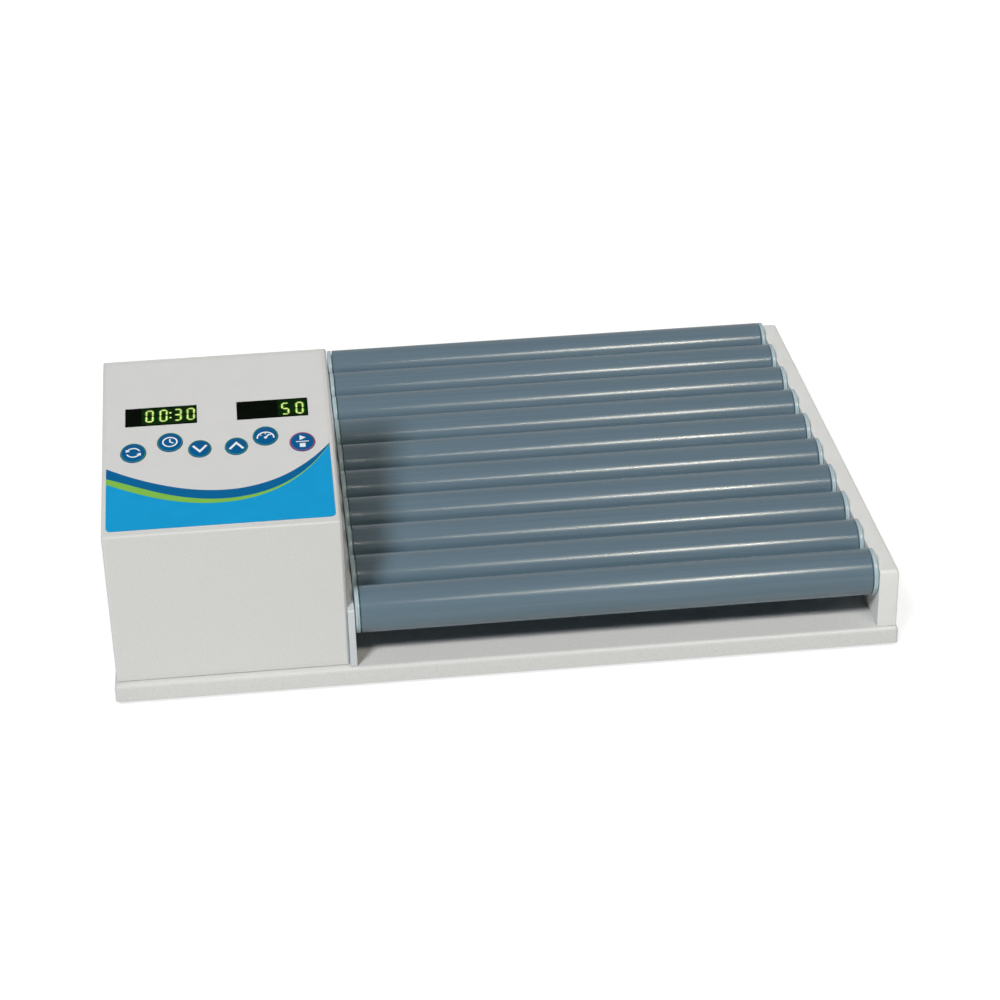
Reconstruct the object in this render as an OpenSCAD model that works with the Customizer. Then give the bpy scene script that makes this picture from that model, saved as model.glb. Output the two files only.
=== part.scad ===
// Tube roller mixer: ten belt-driven rollers between two bearing plates on a folded base tray,
// with a wedge-shaped control box at the left end.
// X runs along the rollers, Y from the front to the back, Z up. Z = 0 is the bench.

/* [Base tray] */
// Thickness of the folded casing sheet
sheet_t = 1.5; // [1:0.1:2]
// Height of the tray from its lower edge to its top
base_h = 12.5; // [11:0.5:20]
// Outside radius of the tray's bends
base_bend_r = 2.2; // [2.2:0.2:5]

/* [Feet] */
// Height that the feet lift the tray off the bench
foot_lift = 3; // [2:0.5:8]
// Diameter of a foot where it meets the tray
foot_d = 18; // [14:1:22]
// Distance of a foot's centre from the tray's edges
foot_inset = 26; // [24:1:34]

/* [Rollers] */
// Number of rollers
roller_count = 10; // [4:1:10]
// Outside diameter of a roller
roller_d = 31; // [26:0.5:32]
// Distance between neighbouring roller axes
roller_pitch = 41; // [38:0.5:46]
// Length of a roller tube between its end caps
roller_len = 339; // [200:1:420]
// Wall of a roller tube
roller_wall = 3; // [2:0.25:4]
// Height of the roller axes above the tray
roller_lift = 34.25; // [30:0.25:34.25]
// Distance from the first and last roller axis to the tray's edge
row_margin = 17.5; // [17.5:0.5:30]

/* [End caps] */
// Thickness of the flange on an end cap
cap_flange_t = 3.6; // [2:0.1:5]
// Length of the plug inside the tube
cap_plug_len = 14; // [8:1:25]
// Diameter of the stub shaft
stub_d = 8; // [6:0.5:8]

/* [Bearing plates] */
// Thickness of the left bearing plate
left_plate_t = 4.5; // [4:0.5:8]
// Thickness of the right bearing plate
right_plate_t = 13; // [9:0.5:16]
// Height of both plates above the tray
plate_h = 42.5; // [42.5:0.5:46]
// Distance of the plates from the tray's front and rear edges
plate_inset = 2.2; // [2.2:0.2:6]
// Distance of the right plate from the tray's right edge
right_inset = 1.3; // [0.5:0.1:4]
// Radius of the plates' upper corners
plate_corner_r = 1.5; // [0.5:0.5:5]
// Outside diameter of a bearing bush
bush_d = 12; // [11:0.5:13]
// Depth of the blind bores in the right plate
blind_bore_depth = 7; // [5:0.5:7]

/* [Belt drive] */
// Outside diameter of a drive pulley
pulley_d = 16; // [15:0.5:16]
// Length of a two-groove pulley
pulley_len = 14; // [13:0.5:16]
// Distance between a pulley's two grooves
groove_pitch = 6.8; // [6:0.2:7]
// Diameter of a round belt
belt_d = 3; // [2.5:0.1:3]
// Distance of the motor shaft behind the front roller axis
motor_back = 34.5; // [30:0.5:45]
// Height of the motor shaft above the roller axes
motor_rise = 42.25; // [36:0.25:46]
// Diameter of the gearbox
gearbox_d = 37; // [32:1:40]
// Length of the gearbox
gearbox_len = 26; // [18:1:34]
// Length of the motor can
motor_len = 50; // [35:1:60]

/* [Control box] */
// Width of the control box
cover_w = 152; // [130:1:180]
// Depth of the control box
cover_d = 175; // [170:1:200]
// Height of the box's front edge above the tray
cover_front_h = 107.5; // [100:0.5:125]
// Slope of the control panel in degrees
panel_slope = 13.5; // [8:0.5:20]
// Distance of the box from the tray's front edge
cover_front_inset = 5; // [4:0.5:9]
// Distance of the box from the tray's left edge
cover_side_inset = 1.5; // [1:0.5:6]
// Outside radius of the box's bends and welded corners
cover_bend_r = 2.2; // [2.2:0.2:4]

/* [Control panel] */
// Thickness of the printed overlay
overlay_t = 0.4; // [0.3:0.1:0.8]
// Width of a display window
window_w = 47; // [40:0.5:50]
// Height of a display window
window_h = 18.5; // [14:0.5:20]
// Distance of the windows up the slope from the box's front edge
window_up = 116.5; // [112:0.5:122]
// Width of a large button
button_w = 16.6; // [13:0.1:17]
// Length of a large button up the slope
button_l = 19; // [15:0.5:19]
// Size of an arrow button as a share of a large one
arrow_share = 0.9; // [0.8:0.05:1]
// Travel of a button
button_travel = 0.5; // [0.3:0.1:0.8]

/* [Mains inlet] */
// Width of the inlet's body
inlet_w = 46; // [44:1:52]
// Height of the inlet's body
inlet_h = 27; // [25:1:32]
// Depth of the inlet's body behind the wall
inlet_depth = 22; // [18:1:28]
// Height of the inlet's centre above the tray
inlet_lift = 34; // [28:1:45]

/* [Hidden] */
$fn = 64;

// Clearances
flange_gap = 0.5;
cover_gap = 0.5;
seat_gap = 0.3;
press_gap = 0.05;
running_gap = 0.05;
through = 1;

// Heights
tray_under = foot_lift + base_h - sheet_t;
base_top = foot_lift + base_h;
axis_z = base_top + roller_lift;
plate_top = base_top + plate_h;

// Stations along X, worked out from the right plate leftwards in one chain
base_w = cover_side_inset + cover_w + cover_gap + left_plate_t + 2 * flange_gap
    + 2 * cap_flange_t + roller_len + right_plate_t + right_inset;
right_plate_x = base_w / 2 - right_inset - right_plate_t;
tube_x1 = right_plate_x - flange_gap - cap_flange_t;
tube_x0 = tube_x1 - roller_len;
left_plate_x1 = tube_x0 - cap_flange_t - flange_gap;
left_plate_x0 = left_plate_x1 - left_plate_t;
cover_x1 = left_plate_x0 - cover_gap;
cover_x0 = cover_x1 - cover_w;

// Stations along Y
base_d = 2 * row_margin + (roller_count - 1) * roller_pitch;
front_y = -base_d / 2;
plate_y0 = front_y + plate_inset;
plate_y1 = -plate_y0;
first_axis_y = front_y + row_margin;
cover_y0 = front_y + cover_front_inset;
cover_y1 = cover_y0 + cover_d;
cover_front_z = base_top + cover_front_h;

// Bushes and stub shafts
bush_flange_t = 1.5;
bush_flange_d = bush_d + 3;
stub_r = stub_d / 2;
plug_r = roller_d / 2 - roller_wall - press_gap;

// Pulleys and belts
pulley_gap = 0.6;
pulley_x1 = left_plate_x0 - bush_flange_t - pulley_gap;
pulley_x0 = pulley_x1 - pulley_len;
pulley_mid_x = (pulley_x0 + pulley_x1) / 2;
groove_floor_r = pulley_d / 2 - belt_d;
groove_top_half = belt_d * 0.8;
groove_floor_half = belt_d * 0.4;
belt_ring_r = groove_floor_r + belt_d / 2 + seat_gap;
stub_past_pulley = 0.8;
stub_end_x = pulley_x0 - stub_past_pulley;
motor_groove_x = pulley_mid_x - groove_pitch / 2;
motor_pulley_len = 7;

// Motor, bracket and shaft
motor_y = first_axis_y + motor_back;
motor_z = axis_z + motor_rise;
motor_shaft_r = 3;
bracket_t = 2;
bracket_edge = 6;
bracket_half_w = gearbox_d / 2 + bracket_edge;
bracket_foot = 22;
bracket_gap = 3.5;
bracket_x1 = stub_end_x - bracket_gap;
bracket_x0 = bracket_x1 - bracket_t;
bracket_screw_inset = 7;
bracket_top_margin = 3;
bracket_window_rise = 14;
bracket_window_drop = 4;
boss_r = 6;
motor_can_d = gearbox_d - 2;
motor_cap_len = 3;
shaft_past_pulley = 0.5;

// Rear belt cover
belt_cover_room = 11;
belt_cover_rise = 3;
belt_cover_top = plate_top + belt_cover_rise;
belt_cover_bend_r = 4;
belt_cover_x0 = stub_end_x - belt_cover_room - sheet_t;
belt_cover_x1 = left_plate_x0 - seat_gap;
belt_cover_y0 = cover_y1 + seat_gap;
belt_cover_y1 = plate_y1;
post_r = 3.5;
post_x = belt_cover_x0 + sheet_t + post_r + seat_gap;
post_inset = 24;

// Screws
screw_r = 1.5;
screw_head_r = 3.5;
screw_head_h = 2.4;
screw_len = 9;
screw_clear_r = 1.7;
screw_hold_r = screw_r + press_gap;
plate_screw_inset = 46;
plate_screw_y = [-1, 0, 1] * (plate_y1 - plate_screw_inset);
flange_w = 12;
flange_screw_inset = 20;
flange_drive_room = 40;
flange_screw_x = [cover_x0 + flange_screw_inset, cover_x1 - flange_drive_room];
flange_screw_y = [cover_y0 + sheet_t + flange_w / 2, cover_y1 - sheet_t - flange_w / 2];
nut_h = 6;
nut_r = 3.5;

// Control panel, measured across from the box's left side and up the slope from its front edge
panel_mid = cover_w / 2;
panel_len = cover_d / cos(panel_slope);
overlay_margin = 3;
overlay_front = 4.7;
overlay_rear = 6;
overlay_corner_r = 3.5;
button_gap = 0.3;
button_proud = 0.5;
button_flange = 1.2;
flange_top = -sheet_t - button_gap;
stem_len = 2.1;
stem_r = 2.5;
stem_end = flange_top - stem_len;
dome_top = stem_end - button_travel - button_gap;
button_low_row = 80;
button_high_row = 88.5;
button_far = 0.3645 * cover_w;
button_middle = 0.2066 * cover_w;
button_near = 0.0789 * cover_w;
window_offset = 0.2434 * cover_w;
dome_r = 3;
board_depth = 9.4;
board_t = 1.6;
board_margin = 10;
board_v0 = 62;
board_v1 = 138;
stud_r = 3;
stud_inset = 5;
display_gap = 0.3;

// Notch and vents of the box
notch_room = 3;
slot_w = 3;
slot_h = 26;
slot_pitch = 8;
slot_count = 9;

// Mains inlet and its rocker, on the box's rear wall
inlet_inset = 54;
inlet_x = cover_x0 + inlet_inset;
inlet_z = base_top + inlet_lift;
inlet_lip = 2.2;
inlet_lip_t = 2.5;
socket_w = 24.5;
socket_h = 16.5;
socket_depth = 16;
socket_offset = -8.2;
rocker_offset = 13.8;
rocker_w = 12.4;
rocker_half_l = 9;
rocker_gap = 0.35;
rocker_window_l = 2 * rocker_half_l + 2.6;
rocker_depth = 11;
rocker_pin_r = 1.5;
rocker_pin_len = 1.4;
rocker_tilt = 9;
rocker_back = 3.2;
rocker_rise = 2;
rocker_hollow = 1.8;
rocker_thick = 7.4;
pin_w = 2;
pin_h = 4;
pin_pitch = 7;
pin_drop = 2.5;
pin_short = 5;

// Mains board, its posts, transformer and capacitors
supply_inset_x = 14;
supply_inset_y = 64;
supply_w = 62;
supply_l = 74;
supply_post_h = 8;
supply_post_r = 3;
supply_post_inset = 4;
transformer_w = 30;
transformer_l = 34;
transformer_h = 26;
transformer_inset_x = 8;
transformer_inset_y = 10;
capacitor_r = 7;
capacitor_h = 22;
capacitor_x = 51;
capacitor_y = [18, 38];

// End caps
cap_ease = 0.5;
cap_wall = 2.5;
cap_floor = 2;
cap_lead = 1;
foot_taper = 3;

// Points of an arc about c, from angle a0 to angle a1
function arc(c, r, a0, a1, n = 6) =
    [for (i = [0 : n]) let (a = a0 + (a1 - a0) * i / n) c + r * [cos(a), sin(a)]];

// Side outline of a bar with round upper corners
function bend_outline(y0, y1, z0, z1, r) = concat(
    [[y0, z0], [y1, z0]],
    arc([y1 - r, z1 - r], r, 0, 90),
    arc([y0 + r, z1 - r], r, 90, 180)
);

// Side outline of the wedge: upright front and rear, a top that rises to the rear by the slope
function wedge_outline(y0, y1, z0, front_z, r) =
    let (s = panel_slope)
    let (rear_z = front_z + (y1 - y0) * tan(s))
    concat(
        [[y0, z0], [y1, z0]],
        arc([y1 - r, rear_z - r * tan(s) - r / cos(s)], r, 0, 90 + s),
        arc([y0 + r, front_z + r * tan(s) - r / cos(s)], r, 90 + s, 180)
    );

// Outline of a rectangle about the origin with round corners
function round_rect(w, l, r) = concat(
    arc([w / 2 - r, l / 2 - r], r, 0, 90),
    arc([r - w / 2, l / 2 - r], r, 90, 180),
    arc([r - w / 2, r - l / 2], r, 180, 270),
    arc([w / 2 - r, r - l / 2], r, 270, 360)
);

// Outline of an ellipse about the origin
function oval(w, l, n = 32) =
    [for (i = [0 : n - 1]) [w / 2 * cos(360 * i / n), l / 2 * sin(360 * i / n)]];

function roller_y(k) = first_axis_y + (k - 1) * roller_pitch;

// Half outline of a pulley along its axis, with a groove at each of the given stations
function groove_points(at) = [
    [pulley_d / 2, at - groove_top_half],
    [groove_floor_r, at - groove_floor_half],
    [groove_floor_r, at + groove_floor_half],
    [pulley_d / 2, at + groove_top_half]
];

// A side outline extruded along X
module along_x(outline, x0, x1) {
    translate([x0, 0, 0])
        rotate([90, 0, 90])
            linear_extrude(x1 - x0)
                polygon(outline);
}

// A round bar along X
module rod_x(r, x0, x1) {
    translate([x0, 0, 0])
        rotate([0, 90, 0])
            cylinder(r = r, h = x1 - x0);
}

// A half outline in radius and station, turned about the X axis
module turned_x(outline) {
    rotate([0, 90, 0])
        rotate_extrude()
            polygon(outline);
}

module at_rollers() {
    for (k = [1 : roller_count])
        translate([0, roller_y(k), axis_z])
            children();
}

module on_panel() {
    translate([cover_x0, cover_y0, cover_front_z])
        rotate([panel_slope, 0, 0])
            children();
}

module at_feet() {
    for (sx = [-1, 1])
        for (sy = [-1, 1])
            translate([sx * (base_w / 2 - foot_inset), sy * (base_d / 2 - foot_inset), 0])
                children();
}

module at_left_plate_screws() {
    for (y = plate_screw_y)
        translate([(left_plate_x0 + left_plate_x1) / 2, y, 0])
            children();
}

module at_right_plate_screws() {
    for (y = plate_screw_y)
        translate([right_plate_x + right_plate_t / 2, y, 0])
            children();
}

module at_cover_screws() {
    for (x = flange_screw_x)
        for (y = flange_screw_y)
            translate([x, y, 0])
                children();
}

module at_bracket_screws() {
    for (s = [-1, 1])
        translate([bracket_x0 - bracket_foot / 2, motor_y + s * (bracket_half_w - bracket_screw_inset), 0])
            children();
}

module at_belt_cover_posts() {
    for (y = [belt_cover_y0 + post_inset, belt_cover_y1 - post_inset])
        translate([post_x, y, 0])
            children();
}

module at_case_screws() {
    at_left_plate_screws() children();
    at_right_plate_screws() children();
    at_cover_screws() children();
    at_bracket_screws() children();
    at_belt_cover_posts() children();
}

// A hole upwards from the tray's top that a case screw holds in
module screw_hold(depth) {
    translate([0, 0, base_top - through])
        cylinder(r = screw_hold_r, h = depth + through);
}

// A block about the origin in plan whose top and upright edges are all rounded with one radius
module bent_block(w, d, z0, z1, r) {
    intersection() {
        along_x(bend_outline(-d / 2, d / 2, z0, z1, r), -w / 2, w / 2);
        rotate([0, 0, 90])
            along_x(bend_outline(-w / 2, w / 2, z0, z1, r), -d / 2, d / 2);
        translate([0, 0, z0])
            linear_extrude(z1 - z0)
                polygon(round_rect(w, d, r));
    }
}

// One sheet, folded down at all four edges
module base_tray() {
    color("#d9d8d3")
        difference() {
            bent_block(base_w, base_d, foot_lift, base_top, base_bend_r);
            bent_block(base_w - 2 * sheet_t, base_d - 2 * sheet_t, foot_lift - through, tray_under,
                base_bend_r - sheet_t);
            at_case_screws()
                translate([0, 0, tray_under - through])
                    cylinder(r = screw_clear_r, h = sheet_t + 2 * through);
        }
}

// Tall moulded feet that reach up to the underside of the tray's top
module rubber_feet() {
    color("#2b2b2b")
        at_feet()
            difference() {
                cylinder(d1 = foot_d - foot_taper, d2 = foot_d, h = tray_under);
                translate([0, 0, -through])
                    cylinder(d = foot_d / 2, h = foot_lift / 2 + through);
            }
}

module left_bearing_plate() {
    color("#e6e6e2")
        difference() {
            along_x(bend_outline(plate_y0, plate_y1, base_top, plate_top, plate_corner_r),
                left_plate_x0, left_plate_x1);
            at_rollers() rod_x(bush_d / 2, left_plate_x0 - through, left_plate_x1 + through);
            at_left_plate_screws() screw_hold(screw_len);
        }
}

// Thick plate with blind bores on the roller side and a rounded outer edge
module right_bearing_plate() {
    x1 = right_plate_x + right_plate_t;
    cross_outline = concat(
        [[right_plate_x, base_top], [x1, base_top]],
        arc([x1 - plate_corner_r, plate_top - plate_corner_r], plate_corner_r, 0, 90),
        [[right_plate_x, plate_top]]
    );
    color("#e6e6e2")
        difference() {
            intersection() {
                along_x(bend_outline(plate_y0, plate_y1, base_top, plate_top, plate_corner_r),
                    right_plate_x, x1);
                translate([0, -front_y, 0])
                    rotate([90, 0, 0])
                        linear_extrude(base_d)
                            polygon(cross_outline);
            }
            at_rollers() rod_x(bush_d / 2, right_plate_x - through, right_plate_x + blind_bore_depth);
            at_right_plate_screws() screw_hold(screw_len);
        }
}

// Flanged bushes, pressed in from the drive side
module left_bushes() {
    color("#c9b68a")
        at_rollers()
            difference() {
                union() {
                    rod_x(bush_d / 2 - press_gap, left_plate_x0 - bush_flange_t, left_plate_x1);
                    rod_x(bush_flange_d / 2, left_plate_x0 - bush_flange_t, left_plate_x0);
                }
                rod_x(stub_r + running_gap, left_plate_x0 - bush_flange_t - through,
                    left_plate_x1 + through);
            }
}

module right_bushes() {
    color("#c9b68a")
        at_rollers()
            difference() {
                rod_x(bush_d / 2 - press_gap, right_plate_x, right_plate_x + blind_bore_depth);
                rod_x(stub_r + running_gap, right_plate_x - through,
                    right_plate_x + blind_bore_depth + through);
            }
}

module roller_tube(k) {
    color("#66788a")
        translate([0, roller_y(k), axis_z])
            difference() {
                rod_x(roller_d / 2, tube_x0, tube_x1);
                rod_x(roller_d / 2 - roller_wall, tube_x0 - through, tube_x1 + through);
            }
}

// One moulded cap: a hollow plug, a flange with eased rims, and a stub shaft.
// Its flange seats at station 0, the plug points to +X and the stub to -X.
module end_cap(stub_len) {
    rim = roller_d / 2;
    ease = cap_ease;
    cup_r = plug_r - cap_wall;
    turned_x([
        [0, -cap_flange_t - stub_len],
        [stub_r - ease, -cap_flange_t - stub_len],
        [stub_r, ease - cap_flange_t - stub_len],
        [stub_r, -cap_flange_t],
        [rim - ease, -cap_flange_t],
        [rim, ease - cap_flange_t],
        [rim, -ease],
        [rim - ease, 0],
        [plug_r, 0],
        [plug_r, cap_plug_len - cap_lead],
        [plug_r - cap_lead, cap_plug_len],
        [cup_r, cap_plug_len],
        [cup_r, cap_floor],
        [0, cap_floor]
    ]);
}

module roller_caps(k) {
    color("#cfe0ea")
        translate([0, roller_y(k), axis_z]) {
            translate([tube_x0, 0, 0])
                end_cap(tube_x0 - cap_flange_t - stub_end_x);
            translate([tube_x1, 0, 0])
                mirror([1, 0, 0])
                    end_cap(flange_gap + blind_bore_depth - cap_lead);
        }
}

module roller_pulley(k) {
    color("#3d4248")
        translate([pulley_mid_x, roller_y(k), axis_z])
            turned_x(concat(
                [[stub_r + press_gap, -pulley_len / 2], [pulley_d / 2, -pulley_len / 2]],
                groove_points(-groove_pitch / 2),
                groove_points(groove_pitch / 2),
                [[pulley_d / 2, pulley_len / 2], [stub_r + press_gap, pulley_len / 2]]
            ));
}

// A round belt in the YZ plane about two pulleys of the same size: the first at the origin,
// the other at the given distance along +Y
module belt_loop(distance) {
    $fn = 24;
    for (s = [-1, 1])
        translate([0, 0, s * belt_ring_r])
            rotate([-90, 0, 0])
                cylinder(d = belt_d, h = distance);
    for (end = [0, 1])
        translate([0, end * distance, 0])
            rotate([(1 - end) * 180, 0, 0])
                rotate([0, 90, 0])
                    rotate_extrude(angle = 180)
                        translate([belt_ring_r, 0])
                            circle(d = belt_d);
}

// Neighbouring rollers share a belt, alternately in the inner and the outer groove.
// The front roller's outer groove is left for the motor's belt.
module roller_belts() {
    color("#8a2f24")
        for (k = [1 : roller_count - 1])
            translate([pulley_mid_x + (k % 2 == 1 ? 1 : -1) * groove_pitch / 2, roller_y(k), axis_z])
                belt_loop(roller_pitch);
}

module motor_belt() {
    color("#8a2f24")
        translate([motor_groove_x, first_axis_y, axis_z])
            rotate([atan2(motor_rise, motor_back), 0, 0])
                belt_loop(norm([motor_back, motor_rise]));
}

module motor_pulley() {
    color("#3d4248")
        translate([motor_groove_x, motor_y, motor_z])
            turned_x(concat(
                [[motor_shaft_r + press_gap, -motor_pulley_len / 2], [pulley_d / 2, -motor_pulley_len / 2]],
                groove_points(0),
                [[pulley_d / 2, motor_pulley_len / 2], [motor_shaft_r + press_gap, motor_pulley_len / 2]]
            ));
}

module motor_shaft() {
    color("#b9bcc0")
        translate([0, motor_y, motor_z])
            rod_x(motor_shaft_r, bracket_x0 - gearbox_len / 2,
                motor_groove_x + motor_pulley_len / 2 + shaft_past_pulley);
}

// Gearbox with a centring boss, and the motor can behind it with its rear bearing cap
module gearmotor() {
    gearbox_x0 = bracket_x0 - gearbox_len;
    can_x0 = gearbox_x0 - motor_len;
    color("#9a9da1")
        translate([0, motor_y, motor_z])
            difference() {
                union() {
                    rod_x(gearbox_d / 2, gearbox_x0, bracket_x0);
                    rod_x(motor_can_d / 2, can_x0, gearbox_x0 + through);
                    rod_x(motor_can_d / 4, can_x0 - motor_cap_len, can_x0 + through);
                    rod_x(boss_r, bracket_x0 - through, bracket_x1);
                }
                rod_x(motor_shaft_r + running_gap, bracket_x0 - gearbox_len / 2 - seat_gap,
                    bracket_x1 + through);
            }
}

// Folded bracket: an upright plate that the gearbox bolts to, and a foot on the tray
module motor_bracket() {
    top_z = motor_z + gearbox_d / 2 + bracket_top_margin;
    color("#a7abb0")
        difference() {
            union() {
                translate([bracket_x0, motor_y - bracket_half_w, base_top])
                    cube([bracket_t, 2 * bracket_half_w, top_z - base_top]);
                translate([bracket_x0 - bracket_foot, motor_y - bracket_half_w, base_top])
                    cube([bracket_foot + bracket_t, 2 * bracket_half_w, bracket_t]);
            }
            translate([0, motor_y, motor_z])
                rod_x(boss_r + press_gap, bracket_x0 - through, bracket_x1 + through);
            translate([bracket_x0 - through, motor_y - bracket_half_w / 2, base_top + bracket_window_rise])
                cube([bracket_t + 2 * through, bracket_half_w,
                    motor_z - gearbox_d / 2 - bracket_window_drop - base_top - bracket_window_rise]);
            at_bracket_screws() screw_hold(screw_len);
        }
}

// The belt cover's outer form for an inset of 0, and its hollow for an inset of its wall: the top is
// rounded over to the rear and to the left
module trough_block(inset, y0, x1, z0) {
    x0 = belt_cover_x0 + inset;
    y1 = belt_cover_y1 - inset;
    top = belt_cover_top - inset;
    r = belt_cover_bend_r - inset;
    intersection() {
        along_x(concat([[y0, z0], [y1, z0]], arc([y1 - r, top - r], r, 0, 90), [[y0, top]]), x0, x1);
        translate([0, y1, 0])
            rotate([90, 0, 0])
                linear_extrude(y1 - y0)
                    polygon(concat([[x0, z0], [x1, z0], [x1, top]],
                        arc([x0 + r, top - r], r, 90, 180)));
    }
}

// Moulded cover over the rear pulleys, closed at its left side, top and rear end
module belt_cover() {
    color("#d9d8d3")
        difference() {
            union() {
                difference() {
                    trough_block(0, belt_cover_y0, belt_cover_x1, base_top);
                    trough_block(sheet_t, belt_cover_y0 - 2 * belt_cover_bend_r, belt_cover_x1 + through,
                        base_top - through);
                }
                at_belt_cover_posts()
                    translate([0, 0, base_top])
                        cylinder(r = post_r, h = belt_cover_top - base_top - sheet_t / 2);
            }
            at_belt_cover_posts() screw_hold(screw_len);
        }
}

// Oval hole or solid on the panel, at a place measured from the panel's middle
module panel_oval(place, share, grow, w0, w1) {
    translate([panel_mid + place[0], place[1], w0])
        linear_extrude(w1 - w0)
            polygon(oval(button_w * share + 2 * grow, button_l * share + 2 * grow));
}

module all_button_ovals(grow, w0, w1) {
    for (s = [-1, 1]) {
        panel_oval([s * button_far, button_low_row], 1, grow, w0, w1);
        panel_oval([s * button_middle, button_high_row], 1, grow, w0, w1);
        panel_oval([s * button_near, button_low_row], arrow_share, grow, w0, w1);
    }
}

module both_windows(grow, w0, w1) {
    for (s = [-1, 1])
        translate([panel_mid + s * window_offset - window_w / 2 - grow,
            window_up - window_h / 2 - grow, w0])
            cube([window_w + 2 * grow, window_h + 2 * grow, w1 - w0]);
}

module at_board_studs() {
    for (u = [board_margin + stud_inset, cover_w - board_margin - stud_inset])
        for (v = [board_v0 + stud_inset, board_v1 - stud_inset])
            translate([u, v, 0])
                children();
}

// The box's outer form for an inset of 0, and its hollow for an inset of the sheet's thickness:
// a wedge whose bends and corners all have one radius
module wedge_block(inset, z0) {
    r = cover_bend_r - inset;
    front_z = cover_front_z + inset * tan(panel_slope) - inset / cos(panel_slope);
    intersection() {
        along_x(wedge_outline(cover_y0 + inset, cover_y1 - inset, z0, front_z, r),
            cover_x0 + inset, cover_x1 - inset);
        translate([(cover_x0 + cover_x1) / 2, (cover_y0 + cover_y1) / 2, z0])
            linear_extrude(cover_front_z + cover_d - z0)
                polygon(round_rect(cover_w - 2 * inset, cover_d - 2 * inset, r));
        on_panel()
            rotate([0, 0, 90])
                along_x(bend_outline(inset - cover_w, -inset, -2 * cover_d, -inset, r),
                    -cover_d, 2 * cover_d);
    }
}

// Folded sheet box, open below, with turned-in flanges, notches that clear the drive,
// and studs that carry the control board
module control_cover() {
    side_notch_top = plate_top - seat_gap;
    rear_notch_top = belt_cover_top - sheet_t - seat_gap;
    notch_y0 = cover_y0 + sheet_t + seat_gap;
    notch_x0 = stub_end_x - notch_room;
    color("#dcdbd6")
        difference() {
            union() {
                difference() {
                    wedge_block(0, base_top);
                    wedge_block(sheet_t, base_top - through);
                }
                for (y = [cover_y0 + sheet_t / 2, cover_y1 - sheet_t / 2 - flange_w])
                    translate([cover_x0 + sheet_t / 2, y, base_top])
                        cube([flange_screw_x[1] - cover_x0 + nut_r, flange_w, sheet_t]);
                at_cover_screws()
                    translate([0, 0, base_top])
                        cylinder(r = nut_r, h = nut_h);
                on_panel()
                    at_board_studs()
                        translate([0, 0, -board_depth])
                            cylinder(r = stud_r, h = board_depth - sheet_t / 2);
            }
            translate([cover_x1 - sheet_t - through, notch_y0, base_top - through])
                cube([sheet_t + 2 * through, cover_d, side_notch_top - base_top + through]);
            translate([notch_x0, cover_y1 - sheet_t - through, base_top - through])
                cube([cover_w, sheet_t + 2 * through, rear_notch_top - base_top + through]);
            translate([inlet_x - inlet_w / 2 - seat_gap, cover_y1 - sheet_t - through,
                inlet_z - inlet_h / 2 - seat_gap])
                cube([inlet_w + 2 * seat_gap, sheet_t + 2 * through, inlet_h + 2 * seat_gap]);
            for (i = [0 : slot_count - 1])
                translate([(cover_x0 + cover_x1 - slot_w) / 2 + (i - (slot_count - 1) / 2) * slot_pitch,
                    cover_y1 - sheet_t - through, cover_front_z - slot_h])
                    cube([slot_w, sheet_t + 2 * through, slot_h]);
            at_cover_screws() screw_hold(screw_len);
            on_panel() {
                all_button_ovals(button_gap, -sheet_t - through, through);
                both_windows(display_gap, -sheet_t - through, through);
            }
        }
}

module panel_overlay() {
    color("#e2e1dc")
        on_panel()
            difference() {
                translate([panel_mid, (overlay_front + panel_len - overlay_rear) / 2, 0])
                    linear_extrude(overlay_t)
                        polygon(round_rect(cover_w - 2 * overlay_margin,
                            panel_len - overlay_rear - overlay_front, overlay_corner_r));
                all_button_ovals(button_gap, -through, overlay_t + through);
                both_windows(display_gap, -through, overlay_t + through);
            }
}

// Display block that stands on the board and fills its window
module display_block(side) {
    color("#10160f")
        on_panel()
            translate([panel_mid + side * window_offset - window_w / 2,
                window_up - window_h / 2, -board_depth])
                cube([window_w, window_h, board_depth + overlay_t]);
}

module control_board() {
    color("#2f6b45")
        on_panel() {
            translate([board_margin, board_v0, -board_depth - board_t])
                cube([cover_w - 2 * board_margin, board_v1 - board_v0, board_t]);
            for (s = [-1, 1])
                for (place = [[button_far, button_low_row], [button_middle, button_high_row],
                        [button_near, button_low_row]])
                    translate([panel_mid + s * place[0], place[1], -board_depth])
                        cylinder(r = dome_r, h = board_depth + dome_top);
        }
}

// Oval key with a flange under the sheet and a stem over its dome
module panel_button(place, share) {
    color("#1b4f97")
        on_panel() {
            panel_oval(place, share, 0, flange_top - button_flange / 2, overlay_t + button_proud);
            panel_oval(place, share, button_flange, flange_top - button_flange, flange_top);
            translate([panel_mid + place[0], place[1], stem_end])
                cylinder(r = stem_r, h = flange_top - button_flange / 2 - stem_end);
        }
}

// Mains board on four posts, with a transformer and two capacitors
module power_supply() {
    board_x0 = cover_x0 + supply_inset_x;
    board_y0 = cover_y0 + supply_inset_y;
    seat_z = base_top + supply_post_h + board_t / 2;
    color("#8b8f3a")
        union() {
            translate([board_x0, board_y0, base_top + supply_post_h])
                cube([supply_w, supply_l, board_t]);
            for (x = [board_x0 + supply_post_inset, board_x0 + supply_w - supply_post_inset])
                for (y = [board_y0 + supply_post_inset, board_y0 + supply_l - supply_post_inset])
                    translate([x, y, base_top])
                        cylinder(r = supply_post_r, h = supply_post_h + board_t / 2);
            translate([board_x0 + transformer_inset_x, board_y0 + transformer_inset_y, seat_z])
                cube([transformer_w, transformer_l, transformer_h]);
            for (y = capacitor_y)
                translate([board_x0 + capacitor_x, board_y0 + y, seat_z])
                    cylinder(r = capacitor_r, h = capacitor_h);
        }
}

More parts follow.
